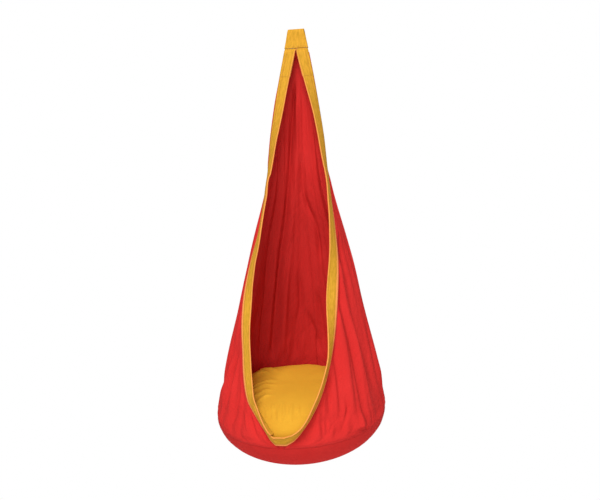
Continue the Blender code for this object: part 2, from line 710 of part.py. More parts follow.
def build_loop():
    webbing_outer = HOOK_BAR_RADIUS + LOOP_WEBBING_THICKNESS
    cover_inner = webbing_outer + FIT_GAP
    cover_outer = cover_inner + LOOP_COVER_THICKNESS
    foot = leg_half_gap()
    inner = mirrored(loop_path(cover_inner, foot, LOOP_COVER_BOTTOM, NECK_TOP_DROP))
    outer = mirrored(loop_path(cover_outer, foot + LOOP_COVER_THICKNESS, LOOP_COVER_BOTTOM, NECK_TOP_DROP))
    sweep_strip("loop_cover", inner, outer, YELLOW)

    angles = [math.pi * k / HOOK_ARC_STEPS for k in range(HOOK_ARC_STEPS + 1)]
    centre = -HOOK_BAR_RADIUS
    crown_inner = [(HOOK_BAR_RADIUS * math.cos(a), centre + HOOK_BAR_RADIUS * math.sin(a)) for a in angles]
    crown_outer = [(webbing_outer * math.cos(a), centre + webbing_outer * math.sin(a)) for a in angles]
    sweep_strip("hook_webbing_crown", crown_inner, crown_outer, WEBBING_WHITE, WEBBING_LEG_SIDE_MARGIN)

    start = WEBBING_LEG_START + HOOK_BAR_RADIUS
    for word, sign in (("front", -1), ("back", 1)):
        sides = []
        for inset in (FIT_GAP + LOOP_WEBBING_THICKNESS, FIT_GAP):
            foot, neck_top, top = loop_path(cover_inner - inset, leg_half_gap() - inset,
                                            LOOP_COVER_BOTTOM, NECK_TOP_DROP)[:3]
            path = [foot, neck_top, level_cut(neck_top, top, -start)]
            sides.append([(sign * y, z) for y, z in path])
        sweep_strip(f"loop_webbing_{word}", sides[0], sides[1], WEBBING_WHITE, WEBBING_LEG_SIDE_MARGIN)


def level_cut(low, high, z):
    """The point of the straight line from low to high that lies at the height z."""
    share = (z - low[1]) / (high[1] - low[1])
    return (low[0] + (high[0] - low[0]) * share, z)


def build_neck():
    half = NECK_THICKNESS / 2
    for word, sign in (("left", -1), ("right", 1)):
        top, bottom = -NECK_TOP_DROP - FIT_GAP, -NECK_DROP + FIT_GAP
        vertices = []
        for z in (bottom, top):
            for x in (FIT_GAP / 2, band_half_width(-z)):
                for y in (-half, half):
                    vertices.append((sign * x, y, z))
        add_object(f"neck_band_{word}", vertices, BOX_FACES, YELLOW)


def main():
    for thing in list(bpy.data.objects):
        bpy.data.objects.remove(thing)
    build_loop()
    build_neck()
    for side, word, curl in ((-1, "left", LEFT_CURL), (1, "right", RIGHT_CURL)):
        build_band(side, word, curl)
        build_panel(side, word, curl)
    build_bowl()
    build_cushion_cover()
    build_gusset_and_zip()
    build_slider_and_pull()
    build_bladder()
    build_valve()


main()
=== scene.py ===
"""The looks of a child's hanging pod swing, in the CAD model's frame: metres, +Z up, the origin where
the loop bears on its hook, and the opening towards -Y."""
import math

import bmesh
import bpy
import numpy as np
from mathutils import Matrix, Vector


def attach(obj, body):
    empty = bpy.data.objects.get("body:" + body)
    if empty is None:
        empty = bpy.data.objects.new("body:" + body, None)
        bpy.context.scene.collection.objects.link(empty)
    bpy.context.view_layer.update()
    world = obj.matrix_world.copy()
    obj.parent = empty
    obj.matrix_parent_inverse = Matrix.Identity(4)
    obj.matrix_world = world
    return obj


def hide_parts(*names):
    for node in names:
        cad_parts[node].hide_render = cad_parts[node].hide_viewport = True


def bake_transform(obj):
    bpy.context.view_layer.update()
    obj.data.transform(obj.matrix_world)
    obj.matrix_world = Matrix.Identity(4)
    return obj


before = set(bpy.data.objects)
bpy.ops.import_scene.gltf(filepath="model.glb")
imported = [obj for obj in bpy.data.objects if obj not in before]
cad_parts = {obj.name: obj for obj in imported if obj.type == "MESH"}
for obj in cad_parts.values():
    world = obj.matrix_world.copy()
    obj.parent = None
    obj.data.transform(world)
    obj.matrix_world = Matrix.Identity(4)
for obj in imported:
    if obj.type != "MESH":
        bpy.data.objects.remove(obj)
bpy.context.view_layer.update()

# Sizes of the CAD model, repeated
HOOK_BAR_RADIUS = 0.006
LOOP_TOP_HALF_WIDTH = 0.0275
LOOP_COVER_THICKNESS = 0.0012
LOOP_WEBBING_THICKNESS = 0.0018
LOOP_COVER_BOTTOM = 0.063
WEBBING_LEG_START = 0.007
WEBBING_LEG_SIDE_MARGIN = 0.003
NECK_DROP = 0.078
NECK_HALF_WIDTH = 0.0445
NECK_THICKNESS = 0.003
NECK_TOP_DROP = 0.037
RING_DROP = 1.298
RING_RADIUS = 0.285
SEAT_TILT_DEG = 14.5
BOWL_DEPTH = 0.154
CLOTH_THICKNESS = 0.0012
NECK_DEPTH_SHARE = 0.45
ROUND_FROM = 0.6
BELLY_SHIFT = -0.0115
LAP_LENGTH = 0.012
LAP_CLEARANCE = 0.0011
BAND_WIDTH = 0.042
BAND_LEAF_THICKNESS = 0.0008
BAND_SLOT_HALF = 0.0015
BAND_LEAF_START = 0.002
HEM_DEPTH = 0.008
BAND_WEBBING_THICKNESS = 0.0014
BAND_WEBBING_START = 0.0125
BAND_WEBBING_END = 0.0375
SEAM_END_ANGLE_DEG = 3.5
UPRIGHT_FROM = 0.985
TANGENT_STEP = 0.004
CUSHION_CLEARANCE = 0.016
CUSHION_CROWN = 0.090
CROWN_FULLNESS = 0.62
GUSSET_HALF_HEIGHT = 0.012
FIT_GAP = 0.0003

# Stations down the pod, as (share of the way down, value): how its width grows, each side's seam in
# degrees from the front, and how far each side's band turns inwards, in degrees
SPREAD = ((0.0, 0.0), (0.09, 0.083), (0.23, 0.192), (0.37, 0.272), (0.54, 0.498), (0.68, 0.664),
          (0.82, 0.83), (1.0, 1.0))
LEFT_SEAM = ((0.0, 90.0), (0.12, 79.0), (0.35, 75.0), (0.41, 59.0), (0.50, 49.5), (0.58, 55.0), (0.66, 56.5),
             (0.72, 50.5), (0.80, 39.5), (0.86, 34.0), (0.91, 27.5), (0.94, 19.5), (0.97, 11.5), (0.99, 7.0),
             (1.0, SEAM_END_ANGLE_DEG))
RIGHT_SEAM = ((0.0, 90.0), (0.33, 90.0), (0.43, 75.5), (0.51, 66.3), (0.58, 60.8), (0.68, 51.0), (0.77, 41.8),
              (0.85, 33.0), (0.90, 26.8), (0.94, 20.0), (0.97, 13.5), (0.99, 8.3), (1.0, SEAM_END_ANGLE_DEG))
LEFT_CURL = ((0.0, 75.0), (0.06, 66.0), (0.13, 53.0), (0.23, 37.0), (0.33, 17.0), (0.41, -3.0), (0.50, -15.0),
             (0.56, -2.0), (0.63, 17.0), (0.69, 28.0), (0.80, 7.0), (0.86, 3.0), (0.91, -12.0), (0.95, -39.0),
             (0.975, -52.0), (1.0, -42.0))
RIGHT_CURL = ((0.0, 66.0), (0.07, 48.0), (0.14, 30.0), (0.25, 17.0), (0.34, 1.0), (0.45, -9.0), (0.52, -4.0),
              (0.60, 12.0), (0.66, 19.0), (0.70, 9.0), (0.76, -21.0), (0.82, -51.0), (0.86, -57.0),
              (0.92, -60.0), (0.965, -71.0), (0.985, -60.0), (1.0, -42.0))

# The cloth's folds: where each runs, as (share of the way down the pod, angle from the front in
# degrees), its height in metres (negative is a valley seen from outside) and its half width in metres
FOLDS = (
    # The right wall, from the opening round to the back
    (((0.86, 32.0), (0.904, 27.8), (0.945, 22.5)), -0.005, 0.010),
    (((0.88, 29.5), (0.96, 28.5)), 0.004, 0.007),
    (((0.80, 33.6), (0.88, 33.2), (0.935, 32.9), (0.985, 33.8)), -0.007, 0.008),
    (((0.80, 39.0), (0.90, 38.6), (0.975, 37.2)), 0.006, 0.011),
    (((0.895, 43.0), (0.932, 46.2), (0.96, 43.7), (0.995, 38.0)), -0.006, 0.006),
    (((0.66, 50.0), (0.80, 51.0), (0.86, 50.3), (0.92, 49.4), (0.985, 49.0)), 0.008, 0.020),
    (((0.58, 56.5), (0.70, 55.6), (0.80, 57.6), (0.86, 58.4), (0.93, 59.0), (0.99, 57.0)), -0.012, 0.020),
    (((0.55, 64.0), (0.70, 61.5), (0.80, 64.5), (0.90, 68.0), (0.98, 69.0)), 0.007, 0.017),
    (((0.50, 74.0), (0.70, 70.0), (0.79, 73.5), (0.87, 79.0), (0.965, 82.0)), -0.009, 0.018),
    (((0.50, 71.0), (0.75, 72.0), (0.97, 73.0)), -0.007, 0.042),
    (((0.30, 100.0), (0.60, 95.0), (0.80, 94.0), (0.96, 95.0)), 0.006, 0.020),
    (((0.12, 112.0), (0.50, 106.0), (0.92, 101.0)), -0.009, 0.018),
    (((0.05, 127.0), (0.50, 122.0), (0.95, 117.0)), 0.008, 0.020),
    (((0.08, 142.0), (0.50, 138.0), (0.90, 133.0)), -0.008, 0.018),
    (((0.05, 156.0), (0.50, 152.0), (0.92, 149.0)), 0.007, 0.020),
    # The pinch low on the right, where several creases meet
    (((0.950, 25.2), (0.992, 28.6)), -0.004, 0.004),
    (((0.945, 30.6), (0.992, 29.0)), -0.004, 0.004),
    (((0.955, 34.6), (0.992, 29.8)), -0.003, 0.004),
    (((0.950, 27.9), (0.990, 28.4)), 0.003, 0.004),
    # The left wall, from the opening round to the back
    (((0.925, -25.0), (0.97, -19.3), (1.0, -13.5)), -0.006, 0.005),
    (((0.93, -28.5), (0.985, -22.5)), 0.004, 0.006),
    (((0.86, -37.0), (0.916, -33.4), (0.96, -36.0)), 0.005, 0.007),
    (((0.87, -34.0), (0.93, -37.4), (0.99, -40.8)), -0.007, 0.007),
    (((0.84, -43.0), (0.93, -45.0), (0.985, -47.0)), 0.005, 0.010),
    (((0.775, -44.5), (0.81, -45.0), (0.862, -49.4), (0.96, -52.2)), -0.009, 0.010),
    (((0.80, -49.6), (0.90, -57.5), (0.975, -61.0)), 0.006, 0.013),
    (((0.76, -54.0), (0.836, -56.0), (0.902, -66.0), (0.97, -72.0)), -0.009, 0.012),
    (((0.30, -96.0), (0.60, -82.0), (0.80, -78.0), (0.95, -82.0)), -0.011, 0.042),
    (((0.15, -108.0), (0.50, -102.0), (0.95, -100.0)), 0.008, 0.020),
    (((0.12, -122.0), (0.50, -116.0), (0.90, -111.0)), -0.008, 0.018),
    # The back wall, seen through the opening
    (((0.06, -166.0), (0.21, -158.5), (0.31, -153.8), (0.44, -150.0), (0.55, -146.8), (0.66, -145.0),
      (0.76, -144.5), (0.93, -144.5)), 0.013, 0.012),
    (((0.10, -174.0), (0.24, -170.0), (0.41, -161.5), (0.60, -155.5), (0.76, -152.6), (0.93, -152.0)),
     -0.008, 0.016),
    (((0.50, -160.0), (0.60, -152.8), (0.72, -148.6)), 0.004, 0.008),
    (((0.27, -176.0), (0.384, -177.0), (0.426, -181.5), (0.468, -188.5), (0.54, -191.2), (0.62, -190.2)),
     0.009, 0.011),
    (((0.62, -166.0), (0.745, -166.8), (0.80, -164.0), (0.94, -162.4)), 0.008, 0.010),
    (((0.75, -172.0), (0.843, -179.2), (0.93, -183.6)), 0.008, 0.010),
    (((0.68, -184.0), (0.797, -186.2), (0.92, -187.2)), 0.007, 0.012),
    (((0.22, -125.0), (0.41, -130.8), (0.53, -129.0), (0.72, -131.0), (0.93, -133.0)), 0.009, 0.014),
    (((0.50, -136.5), (0.72, -139.0), (0.92, -139.5)), -0.006, 0.010),
    (((0.84, -148.4), (0.95, -148.4)), -0.005, 0.007),
    (((0.84, -157.2), (0.95, -157.2)), -0.005, 0.007),
    (((0.84, -170.0), (0.95, -168.0)), -0.005, 0.007),
)
FOLD_STRENGTH = 1.4
FOLD_END_FADE = 0.07
FOLD_END_SHARE = 0.4
FOLD_SEAM_FADE_DEG = 3.5
FOLD_RING_FADE = 0.016
FOLD_SLIM_SHARE = 0.45
CREST_SHARPNESS = 1.5
CREST_ROUNDING = 0.3
CREST_SHARE = 0.6
# The cloth's slow waves: (height in metres, waves round the pod, phase down it, phase at the start)
RIPPLES = ((0.0016, 9, 5, 0.4), (0.0012, 17, -9, 1.9), (0.0008, 31, 14, 0.7), (0.0005, 47, -21, 0.0))
RIPPLE_FADE = 0.2
# The cloth's finer streaks: (width in degrees, length as a share of the drop, height in metres)
STREAKS = ((8.0, 0.30, 0.0028), (4.0, 0.22, 0.0025), (2.4, 0.15, 0.0010))
STREAK_SEED = 3
# How far a valley may reach inwards: less at the ring, where the cushion is near
INWARD_LIMIT = 0.020
INWARD_LIMIT_LOW = 0.0085
INWARD_LIMIT_LOW_FROM = 0.95
INWARD_LIMIT_RUN = 0.07
# The walls' roll just above the ring, round the front and the sides
RIM_BULGE = 0.0040
RIM_BULGE_TOP = 0.955
RIM_BULGE_END_DEG = 80.0
RIM_BULGE_FADE_DEG = 25.0

# Counts of the meshes' rows and columns, and how much these close up
WALL_ROWS = 230
WALL_COLUMNS = 180
COLUMN_CROWDING = 1.15
HEM_COLUMNS = 2
LAP_ROWS = 2
ROW_CROWDING = 1.25
BAND_ROWS = 260
BAND_LIP_ROWS = 12
BAND_TAIL_ROWS = 6
BOWL_ROWS = 60
BOWL_COLUMNS = 168
BOWL_CROWDING = 1.1
CUSHION_SEGMENTS = 160

# Colours as 0 to 255 screen values
RED = (207, 50, 47)
RED_DEEP = (188, 31, 30)
YELLOW = (219, 165, 49)
YELLOW_DEEP = (203, 142, 38)
BAND_YELLOW = (214, 156, 50)
BAND_YELLOW_DEEP = (184, 136, 36)
# Painted highlight: the bright orange that the tape's rolled edge and seam edge show where they catch the
# light
EDGE_HIGHLIGHT_ORANGE = (240, 148, 84)
STITCH_YELLOW = (164, 106, 28)
STITCH_RED = (176, 30, 30)
WEBBING_WHITE = (224, 222, 214)
WEBBING_SHADE = (200, 198, 188)
STEEL = (190, 190, 192)
BLADDER_BLUE = (70, 130, 190)
VALVE_WHITE = (232, 232, 228)


def srgb(colour):
    """A linear colour from 0 to 255 screen values."""
    share = [value / 255 for value in colour]
    return tuple(c / 12.92 if c <= 0.04045 else ((c + 0.055) / 1.055) ** 2.4 for c in share) + (1.0,)


# Materials

def node(tree, kind, inputs=None, **attributes):
    """A new node; each of its inputs takes a value, or a socket to link."""
    made = tree.nodes.new(kind)
    for name, value in attributes.items():
        setattr(made, name, value)
    for place, value in (inputs or {}).items():
        feed(tree, made.inputs[place], value)
    return made


def feed(tree, socket, value):
    """Set an input socket, or link it where the value is a socket too."""
    if isinstance(value, bpy.types.NodeSocket):
        tree.links.new(value, socket)
    else:
        socket.default_value = value


def calculate(tree, operation, *values, clamp=False):
    """The output of a math node that is fed with numbers and sockets."""
    inputs = dict(enumerate(values))
    return node(tree, "ShaderNodeMath", inputs, operation=operation, use_clamp=clamp).outputs[0]


def mix_colours(tree, share, first, second):
    """The output of a node that mixes two colours; share is how much of the second one shows."""
    inputs = {"Factor": share, "A": first, "B": second}
    return node(tree, "ShaderNodeMix", inputs, data_type="RGBA").outputs[2]


def new_material(name, roughness, metallic=0.0):
    material = bpy.data.materials.new(name)
    material.use_nodes = True
    tree = material.node_tree
    shader = tree.nodes["Principled BSDF"]
    feed(tree, shader.inputs["Roughness"], roughness)
    feed(tree, shader.inputs["Metallic"], metallic)
    return material, tree, shader


# Noise in the cloth: (its scale along x, y and z, its place)
WARP = ((900, 60, 900), 3.0)
WEFT = ((60, 900, 60), 7.0)
CRUMPLES = ((62, 22, 62), 11.0)
FLECKS = ((170, 46, 170), 5.0)
DRIFT = ((9, 9, 9), 1.0)
CLOTH_ROUGHNESS = 0.88
SHEEN_ROUGHNESS = 0.45
CLOTH_SPECULAR = 0.06
# The cloth's bump: the weave beside the yarns, and how strong and deep they and the crumples are
WEAVE_SHARE = 0.6
WEAVE_STRENGTH = 0.35
WEAVE_DEPTH = 0.0003
CRUMPLE_STRENGTH = 0.8
# What brings out the cloth's deep colour: the slow drift and the yarns, less an offset
DRIFT_SHARE = 0.55
YARN_SHARE = 0.35
DEEP_OFFSET = -0.28
# A moulded, cast or filmy surface's grain: how strong it is, and how it varies the roughness
GRAIN_STRENGTH = 0.4
GRAIN_SMOOTHER = 0.06
GRAIN_ROUGHER = 0.08

# Marks across the binding: (share of its width, strength); the stitch rows are thread, while the marks at the
# rolled edge and at the seam edge are painted highlights
STITCH_MARKS = ((0.0, 0.0), (0.24, 0.0), (0.28, 0.5), (0.32, 0.0), (0.80, 0.0), (0.84, 0.35), (0.88, 0.0),
                (1.0, 0.0))
ROLL_HIGHLIGHT_MARKS = ((0.0, 0.0), (0.90, 0.0), (0.95, 0.5), (1.0, 0.8))
SEAM_HIGHLIGHT_MARKS = ((0.0, 1.0), (0.13, 0.9), (0.20, 0.0), (1.0, 0.0))
# The seam's edge shows its painted highlight from here on, in metres from the tape's nearer end
SEAM_HIGHLIGHT_FROM = 0.42
SEAM_HIGHLIGHT_FULL = 0.62
BINDING_LENGTH = 2.81
BINDING_MARGIN = 0.0008


def cloth_material(name, colour, deep, coordinates="UV", sheen=0.05, thread=0.0009, crumple=0.0026,
                   streak=0.0):
    """Plain-woven cotton: a fine weave, uneven yarn, small crumples, streaks and a slow drift of colour."""
    material, tree, shader = new_material(name, CLOTH_ROUGHNESS)
    where = node(tree, "ShaderNodeTexCoord").outputs[coordinates]
    split = node(tree, "ShaderNodeSeparateXYZ", {"Vector": where})

    def wave(axis):
        """The height of one set of threads."""
        turns = calculate(tree, "MULTIPLY", split.outputs[axis], math.pi / thread)
        return calculate(tree, "SINE", turns)

    def noise(stretch, place):
        """Uneven streaks, as thick and thin places in the yarn give."""
        inputs = {"Vector": where, "Location": (place,) * 3, "Scale": stretch}
        placed = node(tree, "ShaderNodeMapping", inputs).outputs[0]
        return node(tree, "ShaderNodeTexNoise", {"Vector": placed, "Scale": 1.0, "Detail": 3.0}).outputs[0]
    yarns = calculate(tree, "ADD", noise(*WARP), noise(*WEFT))
    weave = calculate(tree, "MULTIPLY", wave("X"), wave("Y"))
    crumples = node(tree, "ShaderNodeBump", {"Strength": CRUMPLE_STRENGTH, "Distance": crumple,
                                             "Height": noise(*CRUMPLES)})
    bump = node(tree, "ShaderNodeBump", {"Strength": WEAVE_STRENGTH, "Distance": WEAVE_DEPTH,
                                         "Height": calculate(tree, "MULTIPLY_ADD", weave, WEAVE_SHARE, yarns),
                                         "Normal": crumples.outputs[0]})
    flecks = calculate(tree, "MULTIPLY_ADD", noise(*FLECKS), streak, DEEP_OFFSET - streak / 2)
    flecks = calculate(tree, "MULTIPLY_ADD", yarns, YARN_SHARE, flecks)
    share = calculate(tree, "MULTIPLY_ADD", noise(*DRIFT), DRIFT_SHARE, flecks, clamp=True)
    for socket, value in (
        ("Sheen Weight", sheen),
        ("Sheen Roughness", SHEEN_ROUGHNESS),
        ("Sheen Tint", srgb(colour)),
        ("Specular IOR Level", CLOTH_SPECULAR),
        ("Normal", bump.outputs[0]),
        ("Base Color", mix_colours(tree, share, srgb(colour), srgb(deep))),
    ):
        feed(tree, shader.inputs[socket], value)
    return material


def mark_stitches_and_paint_edge_highlights(material, width, length):
    """Tint a folded tape's stitch rows, and paint highlights along its rolled edge and seam edge; width is
    from its seam edge to its rolled one.
    """
    tree = material.node_tree
    colour_input = tree.nodes["Principled BSDF"].inputs["Base Color"]
    split = node(tree, "ShaderNodeSeparateXYZ", {"Vector": node(tree, "ShaderNodeTexCoord").outputs["UV"]})
    across = calculate(tree, "PINGPONG", split.outputs["X"], width)
    share = calculate(tree, "DIVIDE", across, width)
    along = calculate(tree, "PINGPONG", split.outputs["Y"], length / 2)
    low = node(tree, "ShaderNodeMapRange", {"Value": along, "From Min": SEAM_HIGHLIGHT_FROM,
                                            "From Max": SEAM_HIGHLIGHT_FULL}).outputs[0]
    # The stitch rows' thread colour, then the painted highlights on the rolled edge and on the seam edge's
    # lower stretch
    for colour, marks, where in ((STITCH_YELLOW, STITCH_MARKS, 1.0), (EDGE_HIGHLIGHT_ORANGE, ROLL_HIGHLIGHT_MARKS, 1.0),
                                 (EDGE_HIGHLIGHT_ORANGE, SEAM_HIGHLIGHT_MARKS, low)):
        ramp = node(tree, "ShaderNodeValToRGB", {"Fac": share})
        stops = ramp.color_ramp.elements
        stops[0].position, stops[1].position = marks[0][0], marks[-1][0]
        for place, _ in marks[1:-1]:
            stops.new(place)
        for stop, (_, level) in zip(stops, marks):
            stop.color = (level, level, level, 1.0)
        strength = calculate(tree, "MULTIPLY", ramp.outputs[0], where)
        base = colour_input.links[0].from_socket
        feed(tree, colour_input, mix_colours(tree, strength, base, srgb(colour)))
    return material


def plain_material(name, colour, roughness, metallic=0.0, grain=400.0, depth=0.00005):
    """A moulded, cast or filmy surface with a fine uneven grain."""
    material, tree, shader = new_material(name, roughness, metallic)
    where = node(tree, "ShaderNodeTexCoord").outputs["Object"]
    noise = node(tree, "ShaderNodeTexNoise", {"Scale": grain, "Vector": where}).outputs[0]
    bump = node(tree, "ShaderNodeBump", {"Distance": depth, "Strength": GRAIN_STRENGTH, "Height": noise})
    rough = node(tree, "ShaderNodeMapRange", {"Value": noise, "To Min": roughness - GRAIN_SMOOTHER,
                                              "To Max": roughness + GRAIN_ROUGHER})
    feed(tree, shader.inputs["Base Color"], srgb(colour))
    feed(tree, shader.inputs["Normal"], bump.outputs[0])
    feed(tree, shader.inputs["Roughness"], rough.outputs[0])
    return material


MATERIALS = {
    "red": cloth_material("red_cotton", RED, RED_DEEP),
    "yellow": cloth_material("yellow_cotton", BAND_YELLOW, BAND_YELLOW_DEEP, crumple=0.0004, streak=2.4),
    # The binding's cotton, with painted highlights along its rolled edge and seam edge
    "binding_painted_highlights": mark_stitches_and_paint_edge_highlights(cloth_material("yellow_binding_painted_highlights", BAND_YELLOW, BAND_YELLOW_DEEP, crumple=0.0004,
                                           streak=2.4), BAND_WIDTH - BINDING_MARGIN, BINDING_LENGTH),
    "cushion": cloth_material("yellow_cotton_cushion", YELLOW, YELLOW_DEEP, "Object", crumple=0.0008),
    "webbing": cloth_material("white_webbing", WEBBING_WHITE, WEBBING_SHADE, "Object", 0.1, 0.0018, 0.0002),
    "tape": cloth_material("zip_tape", YELLOW_DEEP, STITCH_YELLOW, "Object", 0.1, 0.0007, 0.0002),
    "yellow_thread": plain_material("yellow_thread", STITCH_YELLOW, 0.7),
    "red_thread": plain_material("red_thread", STITCH_RED, 0.7),
    "coil": plain_material("zip_coil_nylon", YELLOW_DEEP, 0.45, grain=2500.0, depth=0.0002),
    "steel": plain_material("zip_steel", STEEL, 0.32, 1.0, 900.0),
    "bladder": plain_material("bladder_film", BLADDER_BLUE, 0.35, grain=60.0, depth=0.0004),
    "valve": plain_material("valve_plastic", VALVE_WHITE, 0.35),
}


# Curves and surfaces of the pod: the CAD model's, with fuller folds

def spline(stations, x):
    """The values at x of a smooth curve through the stations, which are (x, value) in order."""
    xs, ys = np.array(stations, float).T
    slope = np.empty(len(xs))
    slope[1:-1] = (ys[2:] - ys[:-2]) / (xs[2:] - xs[:-2])
    slope[0] = (ys[1] - ys[0]) / (xs[1] - xs[0])
    slope[-1] = (ys[-1] - ys[-2]) / (xs[-1] - xs[-2])
    x = np.clip(x, xs[0], xs[-1])
    i = np.clip(np.searchsorted(xs, x) - 1, 0, len(xs) - 2)
    step = xs[i + 1] - xs[i]
    t = (x - xs[i]) / step
    return ((2 * t**3 - 3 * t**2 + 1) * ys[i] + (t**3 - 2 * t**2 + t) * step * slope[i]
            + (3 * t**2 - 2 * t**3) * ys[i + 1] + (t**3 - t**2) * step * slope[i + 1])


def ease(t):
    t = np.clip(t, 0.0, 1.0)
    return t * t * (3 - 2 * t)


def seam_angle(side, t):
    """The seam's angle from the front: t is 0 at the neck, 1 at the ring and 2 at the lip's middle."""
    if np.ndim(t) == 0 and t > 1:
        return SEAM_END_ANGLE_DEG * (2 - t)
    return spline(RIGHT_SEAM if side > 0 else LEFT_SEAM, t)


def half_width(v):
    return NECK_HALF_WIDTH + (RING_RADIUS - NECK_HALF_WIDTH) * spline(SPREAD, v)


def ripple(phi, v):
    """Slow uneven waves in the cloth, a sum of a few turned sines."""
    a = np.radians(phi)
    return sum(height * np.sin(waves * a + down * v + phase) for height, waves, down, phase in RIPPLES)


def streaks(phi, v):
    """Lengthwise unevenness: smooth seeded noise, drawn out down the cloth."""
    total = 0.0
    for seed, (turn, drop, height) in enumerate(STREAKS):
        columns, rows = round(360 / turn), round(1 / drop)
        levels = np.random.default_rng(seed + STREAK_SEED).normal(size=(rows + 2, columns))
        x, y = np.asarray(phi, float) % 360 / 360 * columns, np.asarray(v, float) * rows
        i, j = np.floor(x).astype(int), np.floor(y).astype(int)
        s, t = ease(x - i), ease(y - j)
        i, k = i % columns, (i + 1) % columns
        high = levels[j, i] * (1 - s) + levels[j, k] * s
        low = levels[j + 1, i] * (1 - s) + levels[j + 1, k] * s
        total = total + height * (high * (1 - t) + low * t)
    return total * half_width(v) / RING_RADIUS


def fold_height(phi, v):
    """How far the cloth stands out from the pod's round sections."""
    total = (ripple(phi, v) + streaks(phi, v)) * ease(v / RIPPLE_FADE)
    for line, height, half in FOLDS:
        top, foot = line[0][0], line[-1][0]
        away = (phi - spline(line, v) + 180) % 360 - 180
        distance = np.radians(away) * half_width(v)
        fade = min(FOLD_END_FADE, FOLD_END_SHARE * (foot - top))
        along = ease((v - top) / fade) * ease((foot - v) / fade)
        slim = half * (FOLD_SLIM_SHARE + (1 - FOLD_SLIM_SHARE) * ease(v / ROUND_FROM))
        total = total + FOLD_STRENGTH * height * along * fold_section(distance / slim)
    low = ease((INWARD_LIMIT_LOW_FROM - v) / INWARD_LIMIT_RUN)
    limit = INWARD_LIMIT_LOW + (INWARD_LIMIT - INWARD_LIMIT_LOW) * low
    total = np.where(total < 0, -limit * np.tanh(-total / limit), total)
    start = np.where((phi + 180) % 360 > 180, seam_angle(1, v), seam_angle(-1, v))
    seam = ease((np.abs(phi) - start) / FOLD_SEAM_FADE_DEG)
    rim = RIM_BULGE * np.sin(math.pi * np.clip((v - RIM_BULGE_TOP) / (1 - RIM_BULGE_TOP), 0.0, 1.0))
    rim = rim * ease((RIM_BULGE_END_DEG - np.abs(phi)) / RIM_BULGE_FADE_DEG)
    return seam * (total * ease((1 - v) / FOLD_RING_FADE) + rim)


def fold_section(x):
    """A fold's height at x half widths from its line, 1 at the line: a crest on a broad swell."""
    crest = np.exp(CREST_ROUNDING - np.hypot(CREST_SHARPNESS * x, CREST_ROUNDING))
    return CREST_SHARE * crest + (1 - CREST_SHARE) * np.exp(-x ** 2)


def wall_point(phi, v, offset=0.0, folded=True):
    """Points of the wall's middle surface, moved outwards by offset."""
    phi, v = np.broadcast_arrays(np.asarray(phi, float), np.asarray(v, float))
    a = np.radians(phi)
    width = half_width(v)
    back = width * (NECK_DEPTH_SHARE + (1 - NECK_DEPTH_SHARE) * ease(v / ROUND_FROM))
    depth = np.where(np.cos(a) > 0, width, back)
    nx, ny = depth * np.sin(a), -width * np.cos(a)
    length = np.hypot(nx, ny)
    move = offset + (fold_height(phi, v) if folded else 0.0)
    x = width * np.sin(a) + nx / length * move
    y = -depth * np.cos(a) + ny / length * move
    tilt = math.radians(SEAT_TILT_DEG) * v * v
    drop = NECK_DROP + v * (RING_DROP - NECK_DROP)
    return np.stack([x, BELLY_SHIFT * v + y * np.cos(tilt), y * np.sin(tilt) - drop], -1)


def ring_frame():
    """The frame of the seat: +Z is the ring's axis, and the opening is at -Y."""
    centre = Vector((0, BELLY_SHIFT, -RING_DROP))
    return Matrix.Translation(centre) @ Matrix.Rotation(math.radians(SEAT_TILT_DEG), 4, "X")


def to_world(local):
    """Points of the seat's frame, in the row's frame."""
    matrix = np.array(ring_frame())
    return np.asarray(local, float) @ matrix[:3, :3].T + matrix[:3, 3]


def bowl_point(phi, angle, offset=0.0):
    """Points of the bowl: angle runs from 0 at the ring to 90 degrees at its lowest point."""
    phi, angle = np.broadcast_arrays(np.asarray(phi, float), np.asarray(angle, float))
    a, b = np.radians(phi), np.radians(angle)
    r = (RING_RADIUS + offset) * np.cos(b)
    return to_world(np.stack([r * np.sin(a), -r * np.cos(a), -(BOWL_DEPTH + offset) * np.sin(b)], -1))


def seam_point(side, t):
    """A point of the opening's seam: t is 0 at the neck, 1 at the ring and 2 at the lip's middle."""
    return Vector(wall_point(side * seam_angle(side, t), min(t, 1.0), folded=False))


def band_frame(side, t, curl_stations):
    """The seam's point, the direction across the band, the band's outward normal and its run."""
    low, high = max(t - TANGENT_STEP, 0.0), min(t + TANGENT_STEP, 2.0)
    along = (seam_point(side, high) - seam_point(side, low)).normalized()
    phi = math.radians(side * float(seam_angle(side, t)))
    outward = Vector((math.sin(phi), -math.cos(phi), 0.0))
    outward = (outward - along * outward.dot(along)).normalized()
    across = (along.cross(outward) * side).normalized()
    upright = float(ease((t - UPRIGHT_FROM) / (1 - UPRIGHT_FROM)))
    across = across.lerp(Vector((0, 0, 1)), upright)
    across = (across - outward * across.dot(outward)).normalized()
    curl = math.radians(float(spline(curl_stations, min(t, 1.0))))
    turned = across * math.cos(curl) - outward * math.sin(curl)
    normal = outward * math.cos(curl) + across * math.sin(curl)
    return seam_point(side, t), turned, normal, along


def slide_to_plane(point, along, axis, value):
    return point + along * ((value - point[axis]) / along[axis])


def row_fraction(i, count):
    """Rows close up towards the ring, where the opening's edge turns level."""
    return 1 - (1 - i / count) ** ROW_CROWDING


# Meshes

